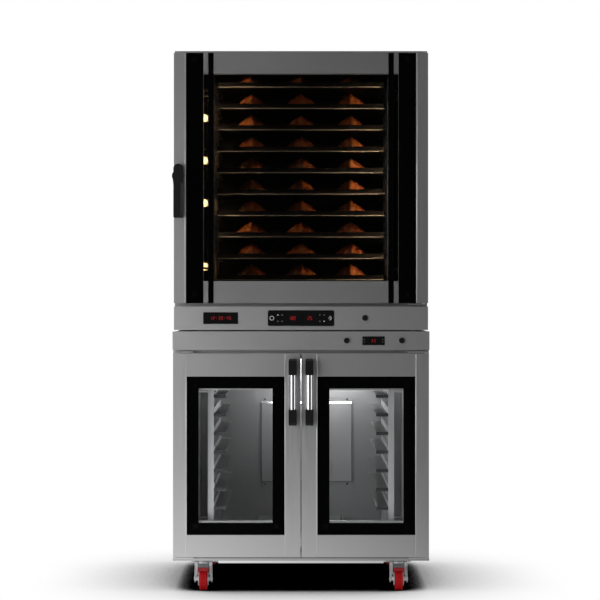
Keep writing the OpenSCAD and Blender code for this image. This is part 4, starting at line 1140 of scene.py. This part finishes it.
def layFloor():
    mesh = bpy.data.meshes.new("floor")
    r = studio["floorReach"]
    mesh.from_pydata([(-r, -r, 0), (r, -r, 0), (r, r, 0), (-r, r, 0)], [], [(0, 1, 2, 3)])
    floor = bpy.data.objects.new("floor", mesh)
    bpy.context.collection.objects.link(floor)
    material, tree, shader = newMaterial("studioFloor")
    shader.inputs["Base Color"].default_value = (*[studio["floorGrey"]] * 3, 1)
    shader.inputs["Roughness"].default_value = 0.9
    shader.inputs["Specular IOR Level"].default_value = 0.0

    contact = addNode(tree, "AmbientOcclusion", samples=16, Distance=studio["contactReach"])
    stops = [(position, (grey,) * 3) for position, grey in studio["contactStops"]]
    shadow = colourRamp(tree, contact.outputs["AO"], stops)

    # the eye sees white with the painted contact shadow; mirrors see that shadow on a painted pool
    # of light that the oven stands on
    coords = addNode(tree, "TexCoord")
    away = addNode(tree, "VectorMath", operation="DISTANCE")
    away.inputs[1].default_value = studio["poolPlace"]
    tree.links.new(coords.outputs["Object"], away.inputs[0])
    pool = mapRange(tree, away.outputs["Value"], studio["poolReach"], studio["poolLevels"],
                    interpolation_type="SMOOTHSTEP")
    level = addNode(tree, "Mix", data_type="FLOAT")
    level.inputs[3].default_value = 1.0
    tree.links.new(straightRays(tree), level.inputs[0])
    tree.links.new(pool, level.inputs[2])

    pale = addNode(tree, "Emission")
    tree.links.new(shadow, pale.inputs["Color"])
    tree.links.new(level.outputs[0], pale.inputs["Strength"])
    eyeOrMirror = addNode(tree, "Math", operation="MAXIMUM")
    mix = addNode(tree, "MixShader")
    tree.links.new(straightRays(tree), eyeOrMirror.inputs[0])
    tree.links.new(mirroredRays(tree), eyeOrMirror.inputs[1])
    tree.links.new(eyeOrMirror.outputs[0], mix.inputs[0])
    tree.links.new(shader.outputs[0], mix.inputs[1])
    tree.links.new(pale.outputs[0], mix.inputs[2])

    # seen from below, the floor isn't there
    below = addNode(tree, "BsdfTransparent")
    side = addNode(tree, "NewGeometry")
    oneSided = addNode(tree, "MixShader")
    tree.links.new(side.outputs["Backfacing"], oneSided.inputs[0])
    tree.links.new(mix.outputs[0], oneSided.inputs[1])
    tree.links.new(below.outputs[0], oneSided.inputs[2])
    tree.links.new(oneSided.outputs[0], tree.nodes["Material Output"].inputs["Surface"])
    mesh.materials.append(material)


sky = {
    "ambient": 0.30,
    "frontDark": 0.03,  # what mirrors meet straight ahead of the oven, where a studio is dark
    "sideBright": 0.85,
    "turn": (-0.25, 0.95),  # where the dark front ends, as the cosine from straight ahead
}


def fillWorld():
    # white to the eye; mirrors see a dark front and white sides; the rest is even light
    world = bpy.data.worlds.new("studio")
    bpy.context.scene.world = world
    world.use_nodes = True
    tree = world.node_tree
    back = tree.nodes["Background"]
    coords = addNode(tree, "TexCoord")
    split = addNode(tree, "SeparateXYZ")
    flip = addNode(tree, "Math", operation="MULTIPLY")
    flip.inputs[1].default_value = -1
    ahead = mapRange(tree, flip.outputs[0], sky["turn"], (sky["sideBright"], sky["frontDark"]),
                     interpolation_type="SMOOTHSTEP")
    scattered = addNode(tree, "Mix", data_type="FLOAT")
    scattered.inputs[2].default_value = sky["ambient"]
    seen = addNode(tree, "Mix", data_type="FLOAT")
    seen.inputs[3].default_value = 1.0
    tree.links.new(coords.outputs["Generated"], split.inputs[0])
    tree.links.new(split.outputs["Y"], flip.inputs[0])
    tree.links.new(mirroredRays(tree), scattered.inputs[0])
    tree.links.new(ahead, scattered.inputs[3])
    tree.links.new(straightRays(tree), seen.inputs[0])
    tree.links.new(scattered.outputs[0], seen.inputs[2])
    tree.links.new(seen.outputs[0], back.inputs["Strength"])
    back.inputs["Color"].default_value = (1, 1, 1, 1)


lamps = {  # name: place, aim, width and height in metres, watts
    "lowLeft": ((-2.7, -3.1, 0.78), (0.0, -0.4, 0.8), (3.2, 2.5), 62),
    "topSoft": ((-0.4, 0.4, 3.8), (0.0, 0.2, 0.9), (3.6, 3.0), 44),
    "rightSoft": ((3.4, -1.0, 1.45), (0.0, 0.0, 0.9), (2.6, 2.8), 30),
    "rearSoft": ((-1.2, 3.8, 2.4), (0.0, 0.0, 0.9), (3.4, 3.0), 45),
    "proofLight": ((0.075, -0.02, 0.80), (0.075, 0.325, 0.56), (0.37, 0.1), 1.6),
}
trayGlow = {  # a small lamp at a front corner of each tray, on the left or on the right
    "fromLeft": (0, 2, 7),  # counted from the top tray
    "x": 343 * mm,
    "y": -383 * mm,
    "aimY": -150 * mm,
    "rise": 46 * mm,
    "ceiling": 1804 * mm,
    "size": (20 * mm, 40 * mm),
    "watts": 0.5,
    "colour": (1.0, 0.74, 0.46),
}


def hangLamp(name, place, aim, size, watts, colour=(1, 1, 1), mirrored=True):
    data = bpy.data.lights.new(name, "AREA")
    data.shape = "RECTANGLE"
    data.size, data.size_y = size
    data.energy = watts
    data.color = colour
    lamp = bpy.data.objects.new(name, data)
    lamp.location = place
    lamp.rotation_euler = (Vector(aim) - Vector(place)).to_track_quat("-Z", "Y").to_euler()
    lamp.visible_camera = False
    lamp.visible_transmission = mirrored
    lamp.visible_glossy = mirrored
    bpy.context.collection.objects.link(lamp)


def hangLamps():
    for name, settings in lamps.items():
        hangLamp(name, *settings)
    for fromTop, foot in enumerate(reversed(trayFeet())):
        side = -1 if fromTop in trayGlow["fromLeft"] else 1
        z = min(foot + trayGlow["rise"], trayGlow["ceiling"])
        place = (side * trayGlow["x"], trayGlow["y"], z)
        hangLamp("trayGlow" + str(fromTop), place, (0, trayGlow["aimY"], z), trayGlow["size"],
                 trayGlow["watts"], trayGlow["colour"], mirrored=False)


placeCamera()
layFloor()
fillWorld()
hangLamps()
print("camera, floor and lamps set")

bpy.context.scene.view_settings.view_transform = "Standard"
